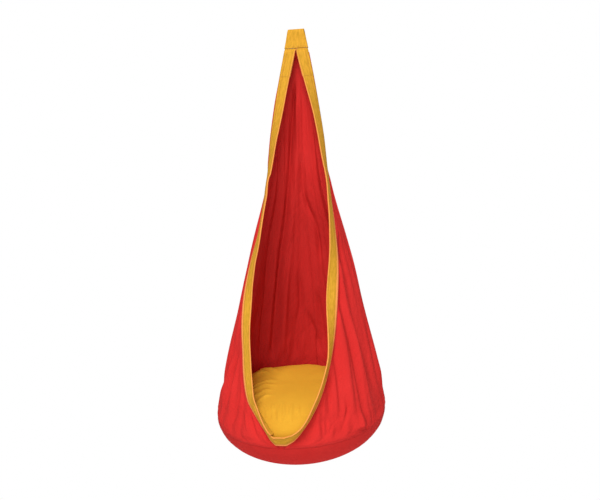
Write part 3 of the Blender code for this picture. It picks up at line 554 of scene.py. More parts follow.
def add_mesh(name, vertices, faces, material, body, uvs=None):
    """A smooth mesh object that rides on a body, or on none; uvs holds one pair a vertex."""
    mesh = bpy.data.meshes.new(name)
    mesh.from_pydata([tuple(map(float, p)) for p in vertices], [], [tuple(f) for f in faces])
    if uvs is not None:
        layer = mesh.uv_layers.new(name="cloth")
        corners = np.empty(len(mesh.loops), np.int32)
        mesh.loops.foreach_get("vertex_index", corners)
        layer.data.foreach_set("uv", np.asarray(uvs, np.float32)[corners].ravel())
    mesh.shade_smooth()
    shell = bmesh.new()
    shell.from_mesh(mesh)
    bmesh.ops.recalc_face_normals(shell, faces=shell.faces)
    if shell.calc_volume(signed=True) < 0:
        bmesh.ops.reverse_faces(shell, faces=shell.faces)
    shell.to_mesh(mesh)
    shell.free()
    mesh.materials.append(MATERIALS[material])
    return add_object(name, mesh, body)


def add_object(name, data, body=None):
    thing = bpy.data.objects.new(name, data)
    bpy.context.collection.objects.link(thing)
    if body:
        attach(thing, body)
    return thing


def sheet_faces(rows, columns):
    """Faces of a closed sheet whose front grid comes first and whose back grid follows it."""
    count = rows * columns
    faces = []
    for i in range(rows - 1):
        for j in range(columns - 1):
            a, d = i * columns + j, (i + 1) * columns + j
            faces += [(a, a + 1, d + 1, d), (count + a, count + d, count + d + 1, count + a + 1)]
    edge = (list(range(columns)) + [i * columns + columns - 1 for i in range(1, rows)]
            + [(rows - 1) * columns + j for j in range(columns - 2, -1, -1)]
            + [i * columns for i in range(rows - 2, 0, -1)])
    faces += [(p, count + p, count + q, q) for p, q in zip(edge, edge[1:] + edge[:1])]
    return faces


def ring_faces(rows, columns, first=0):
    """Faces between closed rings of points, whose first point has the index first."""
    faces = []
    for i in range(rows - 1):
        for j in range(columns):
            a, b = first + i * columns + j, first + i * columns + (j + 1) % columns
            faces.append((a, b, b + columns, a + columns))
    return faces


def mesh_points(thing):
    """An object's mesh points, as rows of x, y and z."""
    flat = np.empty(len(thing.data.vertices) * 3)
    thing.data.vertices.foreach_get("co", flat)
    return flat.reshape(-1, 3)


def grid_uvs(grid):
    """Lengths in metres across and along a grid of points, as the cloth's own coordinates."""
    grid = np.asarray(grid)
    across = np.linalg.norm(np.diff(grid, axis=1), axis=2)
    along = np.linalg.norm(np.diff(grid, axis=0), axis=2)
    u = np.concatenate([np.zeros((len(grid), 1)), np.cumsum(across, 1)], 1)
    v = np.concatenate([np.zeros((1, grid.shape[1])), np.cumsum(along, 0)], 0)
    return np.stack([u, v], -1).reshape(-1, 2)


def add_sheet(name, front, back, material, body):
    """A closed sheet between two equal grids of points."""
    front, back = np.asarray(front), np.asarray(back)
    rows, columns = front.shape[:2]
    uvs = np.concatenate([grid_uvs(front)] * 2)
    vertices = np.concatenate([front.reshape(-1, 3), back.reshape(-1, 3)])
    return add_mesh(name, vertices, sheet_faces(rows, columns), material, body, uvs)


SIDES = ((-1, "left", LEFT_CURL), (1, "right", RIGHT_CURL))


def follow_twist(thing):
    """Bake the object's place into its mesh."""
    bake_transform(thing)


# The pod's walls and bowl

# The hem inside the band gets shallower on its last stretch down to the ring
HEM_NARROWS_FROM = 0.9
HEM_NARROWING = 0.8
# The lap's rows start nearer the front's middle, one after the other, with the hem's points close up
LAP_HEM_SHARE = 0.004
LAP_SEAM_STEP = 0.3
# The bowl starts just below the ring, inside the walls' lap, and steps outwards below the lap
BOWL_START_DEG = 0.15
BOWL_STEP_DEG = (0.05, 0.13)
BOWL_LIFT = 0.0020
BOWL_LIFT_END_DEG = 60
# The bowl's gathers: (height in metres, gathers round the bowl, phase), and where they rise and fade
GATHERS = ((0.0012, 23, 0.5), (0.0010, 41, 2.0), (0.0008, 67, 0.0))
GATHER_RISE_DEG = (5, 10)
GATHER_FADE_DEG = (12, 36)


def wall_grid(side, curl_stations, offset):
    """Rows of points: the hem inside the band, the seam, the wall round to the back, then the lap."""
    wall_share = (np.arange(1, WALL_COLUMNS + 1) / WALL_COLUMNS) ** COLUMN_CROWDING
    grid = []
    for i in range(WALL_ROWS + 1):
        v = row_fraction(i, WALL_ROWS)
        origin, across, normal, along = band_frame(side, v, curl_stations)
        narrowed = float(ease((v - HEM_NARROWS_FROM) / (1 - HEM_NARROWS_FROM)))
        depth = HEM_DEPTH * (1 - HEM_NARROWING * narrowed)
        row = [origin + across * (depth * (1 - k / HEM_COLUMNS) + FIT_GAP) + normal * offset
               for k in range(HEM_COLUMNS + 1)]
        start = float(seam_angle(side, v))
        points = [Vector(p) for p in wall_point(side * (start + (180 - start) * wall_share), v, offset)]
        if i == 0:
            row = [slide_to_plane(p, along, 2, -NECK_DROP - FIT_GAP) for p in row]
            for p in points:
                p.z = -NECK_DROP - FIT_GAP
        points[-1].x = 0.0
        grid.append(row + points)
    share = np.concatenate([np.linspace(0.0, LAP_HEM_SHARE, HEM_COLUMNS + 1), wall_share])
    for k in range(1, LAP_ROWS + 1):
        angle = math.degrees(LAP_LENGTH / BOWL_DEPTH) * k / LAP_ROWS
        start = SEAM_END_ANGLE_DEG * (1 - LAP_SEAM_STEP * k)
        row = [Vector(p) for p in bowl_point(side * (start + (180 - start) * share), angle, offset)]
        row[-1].x = 0.0
        grid.append(row)
    return grid


def build_wall(side, word, curl_stations):
    half = CLOTH_THICKNESS / 2
    front = wall_grid(side, curl_stations, half)
    wall = add_sheet(f"pod_wall_{word}", front, wall_grid(side, curl_stations, -half), "red", None)
    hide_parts(f"side_panel_{word}")
    follow_twist(wall)
    return wall


def build_bowl():
    """The bowl under the seat, with small gathers just below the ring."""
    lap_end = math.degrees(LAP_LENGTH / BOWL_DEPTH)
    step = [lap_end + past for past in BOWL_STEP_DEG]
    down = 90 * np.linspace(0, 1, BOWL_ROWS + 1)[:-1] ** BOWL_CROWDING + BOWL_START_DEG
    angles = np.sort(np.append(down, step))
    phi = np.linspace(0, 360, BOWL_COLUMNS, endpoint=False)
    gather = np.abs(sum(height * np.sin(count * np.radians(phi) + phase) for height, count, phase in GATHERS))
    rows = len(angles)
    base = -CLOTH_THICKNESS / 2 - LAP_CLEARANCE
    vertices, faces, uvs = [], [], []
    for offset in (base, base - CLOTH_THICKNESS):
        first = len(vertices)
        for angle in angles:
            rise = ease((angle - GATHER_RISE_DEG[0]) / (GATHER_RISE_DEG[1] - GATHER_RISE_DEG[0]))
            fade = ease((GATHER_FADE_DEG[1] - angle) / (GATHER_FADE_DEG[1] - GATHER_FADE_DEG[0]))
            lifted = BOWL_LIFT * ease((angle - step[0]) / (step[1] - step[0]))
            lifted = lifted * (1 - ease(angle / BOWL_LIFT_END_DEG) / 2)
            vertices += list(bowl_point(phi, angle, offset + lifted - gather * rise * fade))
        vertices.append(bowl_point(0, 90, offset))
        uvs += [(p[0], p[1]) for p in vertices[first:]]
        faces += ring_faces(rows, BOWL_COLUMNS, first)
        pole = len(vertices) - 1
        last = pole - BOWL_COLUMNS
        faces += [(last + j, last + (j + 1) % BOWL_COLUMNS, pole) for j in range(BOWL_COLUMNS)]
    inner = rows * BOWL_COLUMNS + 1
    faces += [(j, inner + j, inner + (j + 1) % BOWL_COLUMNS, (j + 1) % BOWL_COLUMNS)
              for j in range(BOWL_COLUMNS)]
    bowl = add_mesh("bowl_cloth", vertices, faces, "red", "pod", uvs)
    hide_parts("base_panel")


# The bound opening

# The rolled edge's depth as a share of the folded tape's half thickness, and how many such depths from
# that edge the hem's slot ends
ROLL_SHARE = 0.9
SLOT_END_ROLLS = 2.2
LEAF_POINTS = 10


def binding_section():
    """A folded tape seen end on: outer leaf, rolled edge, inner leaf, then the slot for the hem."""
    outer = BAND_SLOT_HALF + BAND_LEAF_THICKNESS
    roll = outer * ROLL_SHARE
    bend = BAND_WIDTH - roll
    flat = [BAND_LEAF_START + (bend - BAND_LEAF_START) * k / (LEAF_POINTS - 1) for k in range(LEAF_POINTS)]
    turn = [(bend + roll * math.cos(a), outer * math.sin(a))
            for a in (math.radians(d) for d in (60, 30, 0, -30, -60))]
    slot = [(e, BAND_SLOT_HALF)
            for e in (BAND_WIDTH - SLOT_END_ROLLS * roll, BAND_WEBBING_START, BAND_LEAF_START)]
    return ([(e, outer) for e in flat] + turn + [(e, -outer) for e in reversed(flat)]
            + [(e, -n) for e, n in reversed(slot)] + slot)


# The band's tail reaches up into the loop, and a sleeve thickens the band just below the neck
BAND_TAIL_TOP = 0.0634
BAND_EDGE_MARGIN = 0.001
SLEEVE_END = 0.0685
SLEEVE_STEP = 0.0014
SLEEVE_RUN = 0.0012
SLEEVE_EDGE_SHARE = 0.9
# The crease at the lower left: how strong it is down the side, and its place and size across the band
BUCKLE = ((0.925, 0.0), (0.965, 0.9), (0.99, 1.0), (1.2, 0.7), (1.5, 0.2), (2.0, 0.0))
BUCKLE_FROM = 0.91
BUCKLE_LIFT = 0.0018
BUCKLE_LIFT_FROM = 0.78
BUCKLE_LIFT_RUN = 0.2
CREASE_DEPTH = 0.012
CREASE_HALF = 0.11
CREASE_PLACE = 0.70
# The sewn edge's pucker and the free edge's slow wave
PUCKER = 0.00022
PUCKER_TURN = 950
PUCKER_PLACE = 0.15
PUCKER_HALF = 0.12
EDGE_WAVE = 0.0007
EDGE_WAVE_TURN = 34
EDGE_WAVE_FROM = 0.2
EDGE_WAVE_RISE = 0.1


def band_section(side, t, e, n):
    """The section's point at t, with the sleeve under the loop and the buckle at the lower left."""
    sleeve = float(ease((SLEEVE_END - t) / SLEEVE_RUN))
    n += math.copysign(SLEEVE_STEP, n) * sleeve
    if e > BAND_WIDTH * SLEEVE_EDGE_SHARE:
        e += SLEEVE_STEP * sleeve
    share = e / BAND_WIDTH
    if side < 0 and t > BUCKLE_FROM:
        lift = BUCKLE_LIFT * float(ease((share - BUCKLE_LIFT_FROM) / BUCKLE_LIFT_RUN))
        crease = CREASE_DEPTH * math.exp(-((share - CREASE_PLACE) / CREASE_HALF) ** 2)
        n += float(spline(BUCKLE, t)) * (lift - crease)
    near_seam = math.exp(-((share - PUCKER_PLACE) / PUCKER_HALF) ** 2)
    pucker = PUCKER * math.sin(t * PUCKER_TURN + 4 * side) * near_seam
    free = float(ease((share - EDGE_WAVE_FROM) / (1 - EDGE_WAVE_FROM))) * float(ease(t / EDGE_WAVE_RISE))
    return e, n + pucker + EDGE_WAVE * math.sin(t * EDGE_WAVE_TURN + side) * free


def band_point(side, t, curl_stations, e, n):
    """A point of the band, and its outward normal; t below 0 is the tail that runs up into the loop."""
    origin, across, normal, along = band_frame(side, max(t, 0.0), curl_stations)
    e, n = band_section(side, max(t, 0.0), e, n)
    point = origin + across * e + normal * n
    if t <= 0:
        point = slide_to_plane(point, along, 2, -NECK_DROP)
        z = -NECK_DROP - t * (NECK_DROP - BAND_TAIL_TOP)
        half = band_half_width(-z)
        flat = Vector((side * (half - e * (half - FIT_GAP) / (BAND_WIDTH + BAND_EDGE_MARGIN)), -n, z))
        point = Vector((point.x, point.y, z)).lerp(flat, float(ease(-t)))
    if t == 2:
        point = slide_to_plane(point, along, 0, 0.0)
    return point, normal


def band_stations():
    """Places down one side: the tail from -1 to 0, the wall to 1 and the lip to 2."""
    tail = [k / BAND_TAIL_ROWS - 1 for k in range(BAND_TAIL_ROWS)]
    rows = [row_fraction(i, BAND_ROWS) for i in range(BAND_ROWS + 1)]
    marks = [SLEEVE_END + past for past in (-0.0016, -0.0002, 0.0002)]
    lip = [1 + k / BAND_LIP_ROWS for k in range(1, BAND_LIP_ROWS + 1)]
    return tail + sorted(rows + marks) + lip


def band_line(e, n, first=-1.0):
    """A line at e across the band, down the left, round the lip and up the right, with its normals."""
    stations = [t for t in band_stations() if t >= first]
    left = [band_point(-1, t, LEFT_CURL, e, n) for t in stations]
    right = [band_point(1, t, RIGHT_CURL, e, n) for t in stations[:-1]]
    return left + right[::-1]


def sweep_band(name, section, material, first=-1.0):
    """The section swept round the whole opening, as one length of tape."""
    lines = [[point for point, _ in band_line(e, n, first)] for e, n in section]
    rows, size = len(lines[0]), len(section)
    middle = [sum((line[i] for line in lines), Vector()) / size for i in range(rows)]
    runs = np.cumsum([0.0] + [(q - p).length for p, q in zip(middle, middle[1:])])
    turns = np.cumsum([0.0] + [math.dist(p, q) for p, q in zip(section, section[1:])])
    vertices = [lines[j][i] for i in range(rows) for j in range(size)]
    uvs = [(turns[j], runs[i]) for i in range(rows) for j in range(size)]
    ends = [tuple(range(size)), tuple(reversed(range((rows - 1) * size, rows * size)))]
    faces = ring_faces(rows, size) + ends
    thing = add_mesh(name, vertices, faces, material, None, uvs)
    follow_twist(thing)
    return thing, runs[-1]


def build_band():
    band, length = sweep_band("bound_edge", binding_section(), "binding_painted_highlights")
    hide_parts("opening_band_left", "opening_band_right")
    half = BAND_WEBBING_THICKNESS / 2
    low, high = BAND_WEBBING_START + FIT_GAP / 2, BAND_WEBBING_END - FIT_GAP / 2
    section = [(low, half), (high, half), (high, -half), (low, -half)]
    webbing, _ = sweep_band("edge_webbing", section, "webbing", first=0.0)
    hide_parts("band_webbing_left", "band_webbing_right")


# Stitching: short threads laid along a line

# Where the rows of stitches run: metres across the band, and degrees down the bowl
BAND_STITCH_ROWS = (("seam", 0.0115), ("edge", 0.0365))
RING_STITCH_ROWS = (("upper", 0.9), ("lower", 2.7))
RING_STITCH_SPAN_DEG = (SEAM_END_ANGLE_DEG + 1.5, 179.5)
RING_STITCH_POINTS = 300
RING_STITCH_CENTRE = (0, 0, -0.02)
SLEEVE_STITCH_GAP = 0.003
SLEEVE_STITCH_SPAN = (0.003, 0.040)
SLEEVE_STITCH_POINTS = 20
BACK_STITCH_GAP = 0.004
BACK_STITCH_SPAN = (0.01, 0.985)
BACK_STITCH_POINTS = 260


def add_stitches(name, line, normals, material, body, length=0.0036, pitch=0.0050):
    """Small spindle-shaped stitches at an even pitch along a line of points."""
    radius, lift, waist = 0.00045, 0.00015, 0.3
    line = [Vector(p) for p in line]
    runs = np.cumsum([0.0] + [(b - a).length for a, b in zip(line, line[1:])])
    vertices, faces = [], []
    for k in range(max(int(runs[-1] / pitch), 1)):
        middle = (k + 0.5) * pitch
        i = min(max(int(np.searchsorted(runs, middle)) - 1, 0), len(line) - 2)
        share = (middle - runs[i]) / max(runs[i + 1] - runs[i], 1e-9)
        ahead = (line[i + 1] - line[i]).normalized()
        up = Vector(normals[i]).normalized()
        aside = ahead.cross(up).normalized()
        centre = line[i].lerp(line[i + 1], share) + up * lift
        first = len(vertices)
        vertices += [centre - ahead * length / 2, centre + ahead * length / 2]
        for way in (aside, up, -aside, -up):
            vertices += [centre + ahead * length * reach + way * radius for reach in (-waist, waist)]
        for j in range(4):
            m = (j + 1) % 4
            a, b, c, d = first + 2 + 2 * j, first + 3 + 2 * j, first + 3 + 2 * m, first + 2 + 2 * m
            faces += [(a, b, c, d), (first, a, d), (first + 1, c, b)]
    return add_mesh(name, vertices, faces, material, body)


def build_band_stitches():
    face = BAND_SLOT_HALF + BAND_LEAF_THICKNESS
    for place, n in (("outside", face), ("inside", -face)):
        for row, e in BAND_STITCH_ROWS:
            line = band_line(e, n, first=0.0)
            normals = [normal * math.copysign(1, n) for _, normal in line]
            stitches = add_stitches(f"stitch_{row}_{place}", [point for point, _ in line], normals,
                                    "yellow_thread", None)
            follow_twist(stitches)
    for side, word, curl in SIDES:
        line = [band_point(side, SLEEVE_END - SLEEVE_STITCH_GAP, curl, e, face)
                for e in np.linspace(*SLEEVE_STITCH_SPAN, SLEEVE_STITCH_POINTS)]
        row = add_stitches(f"stitch_sleeve_{word}", [point for point, _ in line],
                           [normal for _, normal in line], "yellow_thread", None)
        follow_twist(row)


def build_seam_stitches():
    """Rows of thread along the ring and down the back."""
    for side, word, _ in SIDES:
        phi = np.linspace(*RING_STITCH_SPAN_DEG, RING_STITCH_POINTS)
        for row, angle in RING_STITCH_ROWS:
            points = bowl_point(side * phi, angle, CLOTH_THICKNESS / 2)
            normals = points - to_world([RING_STITCH_CENTRE])
            made = add_stitches(f"stitch_ring_{row}_{word}", points, normals, "red_thread", "pod")
        v = np.linspace(*BACK_STITCH_SPAN, BACK_STITCH_POINTS)
        near = 180 - np.degrees(BACK_STITCH_GAP / half_width(v))
        points = wall_point(side * near, v, CLOTH_THICKNESS / 2)
        made = add_stitches(f"stitch_back_{word}", points, [(0, 1, 0.1)] * len(v), "red_thread", None)
        follow_twist(made)


# The loop and the neck

# Two pinched lines down the loop's outside, which draw together a little near its top
PINCH_DEPTH = 0.0008
PINCH_HALF = 0.0026
PINCH_PLACE = 0.0085
PINCH_FROM = 0.008
PINCH_RISE = 0.012
PINCH_CLOSES_FROM = 0.018
PINCH_CLOSES_OVER = 0.045
# The sewn line across the loop's foot, and the cloth's slow waves
SEWN_DEPTH = 0.0003
SEWN_HALF = 0.0018
SEWN_DROP = 0.0585
LOOP_WAVE = 0.0003
LOOP_WAVE_ACROSS = 90
LOOP_WAVE_DOWN = 60
LOOP_FLAT_FROM = 0.004
LOOP_FLAT_RISE = 0.006
LOOP_COLUMNS = 57
LOOP_STITCH_ROWS = (("lower", -0.0600), ("upper", -0.0565))
LOOP_STITCH_COUNT = 40
LOOP_STITCH_MARGIN = 0.002
# How full a band's tail stays towards its edges, and the wall's bit behind the tails
TAIL_EDGE_THINNING = 0.5
TAIL_EDGE_POWER = 8
TUCK_HALF_WIDTH = 0.016
TUCK_BOTTOM = 0.094
TUCK_LEAN = 15


def band_half_width(drop):
    return LOOP_TOP_HALF_WIDTH + (NECK_HALF_WIDTH - LOOP_TOP_HALF_WIDTH) * max(drop, 0.0) / NECK_DROP


def leg_half_gap():
    return NECK_THICKNESS / 2 + LOOP_WEBBING_THICKNESS + 2 * FIT_GAP


def loop_path(radius, foot_y, arc_steps=12, leg_steps=16):
    """Half a loop, from the foot up and over the hook, as (y, z) points."""
    centre = -HOOK_BAR_RADIUS
    dy, dz = foot_y, -NECK_TOP_DROP - centre
    touch = math.atan2(dz, dy) + math.acos(radius / math.hypot(dy, dz))
    arc = [(radius * math.cos(a), centre + radius * math.sin(a))
           for a in np.linspace(touch, math.pi / 2, arc_steps)]
    foot = [(foot_y, z) for z in np.linspace(-LOOP_COVER_BOTTOM, -NECK_TOP_DROP, 10)]
    leg = [(foot_y + (arc[0][0] - foot_y) * s, -NECK_TOP_DROP + (arc[0][1] + NECK_TOP_DROP) * s)
           for s in np.linspace(0, 1, leg_steps)[1:-1]]
    half = foot + leg + arc
    return half + [(-y, z) for y, z in half[-2::-1]]


def loop_grid(path, outside):
    """The loop's cloth: slim waves, and on its outside the sewn line and the two pinched lines."""
    grid = []
    for y, z in path:
        half = band_half_width(-z)
        sign = 1 if y > 0 else -1
        flat = float(ease((-z - LOOP_FLAT_FROM) / LOOP_FLAT_RISE))
        spread = PINCH_PLACE * min(max((-PINCH_CLOSES_FROM - z) / -PINCH_CLOSES_OVER, 0.0), 1.0)
        row = []
        for x in np.linspace(-1, 1, LOOP_COLUMNS) * half:
            groove = math.exp(-((abs(x) - PINCH_PLACE + spread) / PINCH_HALF) ** 2)
            deep = -outside * PINCH_DEPTH * groove * float(ease((-z - PINCH_FROM) / PINCH_RISE))
            stitched = -outside * SEWN_DEPTH * math.exp(-((z + SEWN_DROP) / SEWN_HALF) ** 2)
            soft = LOOP_WAVE * (1 + math.sin(LOOP_WAVE_ACROSS * x + LOOP_WAVE_DOWN * z))
            row.append((x, y + sign * (deep + stitched + soft) * flat, z))
        grid.append(row)
    return grid


def bend_with_loop(thing):
    """Bake the object's place into its mesh."""
    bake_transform(thing)


def leg_face(sign, inset):
    """A face of a webbing leg: straight up from its foot, then slanting out to the hook."""
    radius = HOOK_BAR_RADIUS + LOOP_WEBBING_THICKNESS + FIT_GAP - inset
    foot_y = leg_half_gap() - inset
    dz = HOOK_BAR_RADIUS - NECK_TOP_DROP
    touch = math.atan2(dz, foot_y) + math.acos(radius / math.hypot(foot_y, dz))
    rise = radius * math.sin(touch) - dz
    grid = []
    for z in np.linspace(-LOOP_COVER_BOTTOM, -WEBBING_LEG_START - HOOK_BAR_RADIUS, 24):
        slant = max(z + NECK_TOP_DROP, 0.0) / rise
        half = band_half_width(-z) - WEBBING_LEG_SIDE_MARGIN
        y = sign * (foot_y + (radius * math.cos(touch) - foot_y) * slant)
        grid.append([(x, y, z) for x in np.linspace(-half, half, 9)])
    return grid


def build_loop_webbing():
    for word, sign in (("front", -1), ("back", 1)):
        faces = [leg_face(sign, inset) for inset in (FIT_GAP, FIT_GAP + LOOP_WEBBING_THICKNESS)]
        leg = add_sheet(f"webbing_leg_{word}", faces[0], faces[1], "webbing", None)
        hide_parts(f"loop_webbing_{word}")
        bend_with_loop(leg)


def build_loop():
    inner_radius = HOOK_BAR_RADIUS + LOOP_WEBBING_THICKNESS + FIT_GAP
    outer_radius = inner_radius + LOOP_COVER_THICKNESS
    face = leg_half_gap() + LOOP_COVER_THICKNESS
    inner = loop_grid(loop_path(inner_radius, leg_half_gap()), 0)
    outer = loop_grid(loop_path(outer_radius, face), 1)
    cover = add_sheet("loop_cloth", outer, inner, "yellow", None)
    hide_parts("loop_cover")
    bend_with_loop(cover)
    for word, sign in (("front", -1), ("back", 1)):
        for row, z in LOOP_STITCH_ROWS:
            half = band_half_width(-z) - LOOP_STITCH_MARGIN
            points = [(x, sign * (face - SEWN_DEPTH), z) for x in np.linspace(-half, half, LOOP_STITCH_COUNT)]
            made = add_stitches(f"stitch_loop_{row}_{word}", points, [(0, sign, 0)] * LOOP_STITCH_COUNT,
                                "yellow_thread", None, length=0.0026, pitch=0.0034)
            bend_with_loop(made)


def build_neck():
    """The two bands' tails, which lie flat side by side in the loop, and the cloth tucked behind them."""
    half = NECK_THICKNESS / 2
    top = -BAND_TAIL_TOP + FIT_GAP
    for word, sign in (("left", -1), ("right", 1)):
        front, back = [], []
        for z in np.linspace(-NECK_TOP_DROP - FIT_GAP, top, 18):
            xs = np.linspace(FIT_GAP / 2, band_half_width(-z), 20)
            middle = (xs[0] + xs[-1]) / 2
            crown = half * (1 - TAIL_EDGE_THINNING * ((xs - middle) / (xs[-1] - middle)) ** TAIL_EDGE_POWER)
            front.append([(sign * x, -c, z) for x, c in zip(xs, crown)])
            back.append([(sign * x, c, z) for x, c in zip(xs, crown)])
        tail = add_sheet(f"band_tail_{word}", front, back, "yellow", None)
        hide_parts(f"neck_band_{word}")
        bend_with_loop(tail)
    front = [[(x, half + FIT_GAP + TUCK_LEAN * max(top - z, 0.0) ** 2, z)
              for x in np.linspace(-TUCK_HALF_WIDTH, TUCK_HALF_WIDTH, 9)]
             for z in np.linspace(-LOOP_COVER_BOTTOM, -TUCK_BOTTOM, 12)]
    back = [[(x, y + CLOTH_THICKNESS, z) for x, y, z in row] for row in front]
    tuck = add_sheet("wall_tuck", front, back, "red", None)
    follow_twist(tuck)


# The cushion

# The turned profile: how many points it has under and over its side, the angles in radians at which
# these two runs start from the side, and the side's half height
PROFILE_UNDER_POINTS = 26
PROFILE_UNDER_FROM = 0.08
PROFILE_OVER_POINTS = 34
PROFILE_OVER_FROM = 0.05
PROFILE_SIDE_HALF = 0.008
CROWN_LIFT = 0.0035
COVER_MARGIN = 0.0004
CROWN_WAVE = 0.0010
CROWN_WAVE_TURNS = 5
CROWN_WAVE_SPIRAL = 18
CROWN_WAVE_FROM = 0.10
CROWN_EASE_HEIGHT = 0.02
# What multiplies the wrinkles' heights, how high they start, and where they are full and fade
WRINKLE_STRENGTH = 1.7
WRINKLE_START = 0.25
WRINKLE_RISE = 0.3
WRINKLE_FADE = 0.45
SWELL_STEPS = 20
# The fuller back left of the crown: its height, place in the seat's plan and half width
SEAT_BULGE = 0.012
SEAT_BULGE_PLACE = (-0.165, 0.105)
SEAT_BULGE_HALF = 0.085

# The cushion's wrinkles, as places in the seat's plan (x, y), a height and a half width, in metres
WRINKLES = (
    (((-0.195, 0.135), (-0.131, 0.113), (-0.079, 0.066)), 0.0035, 0.014),
    (((-0.180, 0.050), (-0.153, 0.082), (-0.108, 0.060)), 0.0038, 0.013),
    (((-0.160, -0.040), (-0.131, -0.020), (-0.102, 0.003), (-0.066, 0.010)), 0.0038, 0.011),
    (((-0.160, -0.085), (-0.135, -0.060), (-0.111, -0.031), (-0.055, -0.034)), 0.0040, 0.009),
    (((-0.140, -0.120), (-0.117, -0.098), (-0.102, -0.071), (-0.068, -0.066)), 0.0038, 0.008),
    (((-0.110, -0.150), (-0.090, -0.115), (-0.060, -0.100)), 0.0030, 0.007),
    (((-0.087, -0.160), (-0.062, -0.200), (-0.050, -0.232)), 0.0020, 0.006),
    (((-0.052, -0.160), (-0.040, -0.215), (-0.029, -0.262)), 0.0024, 0.006),
    (((-0.030, -0.170), (-0.018, -0.225), (-0.008, -0.262)), 0.0018, 0.005),
    (((-0.015, -0.160), (0.000, -0.225), (0.006, -0.265)), 0.0022, 0.005),
    (((0.012, -0.160), (0.022, -0.225), (0.029, -0.265)), 0.0024, 0.006),
    (((0.035, -0.170), (0.050, -0.225), (0.058, -0.258)), 0.0018, 0.006),
    (((0.060, 0.180), (0.080, 0.220), (0.090, 0.255)), 0.0006, 0.012),
    (((-0.020, 0.190), (-0.015, 0.225), (-0.010, 0.262)), 0.0006, 0.012),
)


def cushion_radius():
    return RING_RADIUS - CUSHION_CLEARANCE


def cushion_depth():
    return BOWL_DEPTH - CLOTH_THICKNESS * 1.5 - LAP_CLEARANCE - 2 * FIT_GAP


def cushion_profile():
    """(radius, height) from the lowest point up the side to the crown, in the seat's frame."""
    radius = cushion_radius() - COVER_MARGIN
    crown = CUSHION_CROWN - GUSSET_HALF_HEIGHT + CROWN_LIFT
    under = [(radius * math.cos(a), -cushion_depth() * math.sin(a))
             for a in np.linspace(math.pi / 2, PROFILE_UNDER_FROM, PROFILE_UNDER_POINTS)]
    side = [(radius, -PROFILE_SIDE_HALF), (radius, 0.0), (radius, PROFILE_SIDE_HALF)]
    over = [(radius * max(math.cos(a), 0.0) ** CROWN_FULLNESS, GUSSET_HALF_HEIGHT + crown * math.sin(a))
            for a in np.linspace(PROFILE_OVER_FROM, math.pi / 2, PROFILE_OVER_POINTS)]
    points = under + side + over
    points[0], points[-1] = (0.0, points[0][1]), (0.0, points[-1][1])
    return points


def distance_to_line(x, y, line):
    """The distance from points to a chain of straight pieces, and how far along it they lie, 0 to 1."""
    best, place = np.full(x.shape, 9.0), np.zeros(x.shape)
    for i, ((ax, ay), (bx, by)) in enumerate(zip(line, line[1:])):
        dx, dy = bx - ax, by - ay
        t = np.clip(((x - ax) * dx + (y - ay) * dy) / (dx * dx + dy * dy), 0.0, 1.0)
        away = np.hypot(x - ax - t * dx, y - ay - t * dy)
        nearer = away < best
        best = np.where(nearer, away, best)
        place = np.where(nearer, (i + t) / (len(line) - 1), place)
    return best, place


def crown_rise(x, y):
    """How far the crown's wrinkles and its fuller back left lift the cover."""
    bx, by = SEAT_BULGE_PLACE
    rise = SEAT_BULGE * np.exp(-((x - bx) ** 2 + (y - by) ** 2) / SEAT_BULGE_HALF ** 2)
    for line, height, half in WRINKLES:
        away, place = distance_to_line(x, y, line)
        ends = ease(place / WRINKLE_RISE + WRINKLE_START) * ease((1 - place) / WRINKLE_FADE)
        rise = rise + WRINKLE_STRENGTH * height * np.exp(-(away / half) ** 2) * ends
    angle, radius = np.arctan2(x, -y), np.hypot(x, y)
    wave = CROWN_WAVE * np.sin(CROWN_WAVE_TURNS * angle + CROWN_WAVE_SPIRAL * radius)
    return rise + wave * ease(radius / CROWN_WAVE_FROM)


def hold_outside(points):
    """Points of the cushion, none of them inside the CAD model's cover."""
    radius, z = np.maximum(np.hypot(points[:, 0], points[:, 1]), 1e-6), points[:, 2]
    full = cushion_radius() + COVER_MARGIN
    crown = CUSHION_CROWN - GUSSET_HALF_HEIGHT + COVER_MARGIN
    up = z - GUSSET_HALF_HEIGHT
    lean = np.arctan2(np.maximum(up, 0.0) / crown, np.minimum(radius / full, 1.2) ** (1 / CROWN_FULLNESS))
    over = full * np.maximum(np.cos(lean), 0.0) ** CROWN_FULLNESS
    under = full * np.sqrt(np.clip(1 - (np.minimum(z, 0.0) / cushion_depth()) ** 2, 0.0, 1.0))
    wider = np.where(z > -GUSSET_HALF_HEIGHT, np.where(up > 0, over, under) / radius, 1.0)
    points[:, :2] *= np.maximum(1.0, wider)[:, None]
    points[:, 2] = np.where(up > 0, np.maximum(z, GUSSET_HALF_HEIGHT + crown * np.sin(lean)), z)
    return points


def build_cushion():
    """A turned form swollen by a cloth simulation, then given the wrinkles that the cover shows."""
    profile = cushion_profile()
    angles = np.radians(np.linspace(0, 360, CUSHION_SEGMENTS, endpoint=False))
    vertices = [(r * math.sin(a), -r * math.cos(a), h) for r, h in profile[1:-1] for a in angles]
    rings = len(profile) - 2
    faces = ring_faces(rings, CUSHION_SEGMENTS)
    for pole, first in ((0, 0), (-1, (rings - 1) * CUSHION_SEGMENTS)):
        faces += [(len(vertices), first + k, first + (k + 1) % CUSHION_SEGMENTS)
                  for k in range(CUSHION_SEGMENTS)]
        vertices.append((0, 0, profile[pole][1]))
    cushion = add_mesh("seat_cushion", vertices, faces, "cushion", "pod")
    swell(cushion)
    points = mesh_points(cushion)
    above = ease((points[:, 2] - GUSSET_HALF_HEIGHT) / CROWN_EASE_HEIGHT)
    points[:, 2] += crown_rise(points[:, 0], points[:, 1]) * above
    cushion.data.vertices.foreach_set("co", hold_outside(points).ravel())
    cushion.data.transform(ring_frame())
    cushion.data.update()
    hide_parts("cushion_cover_top", "cushion_cover_bottom", "cushion_gusset")


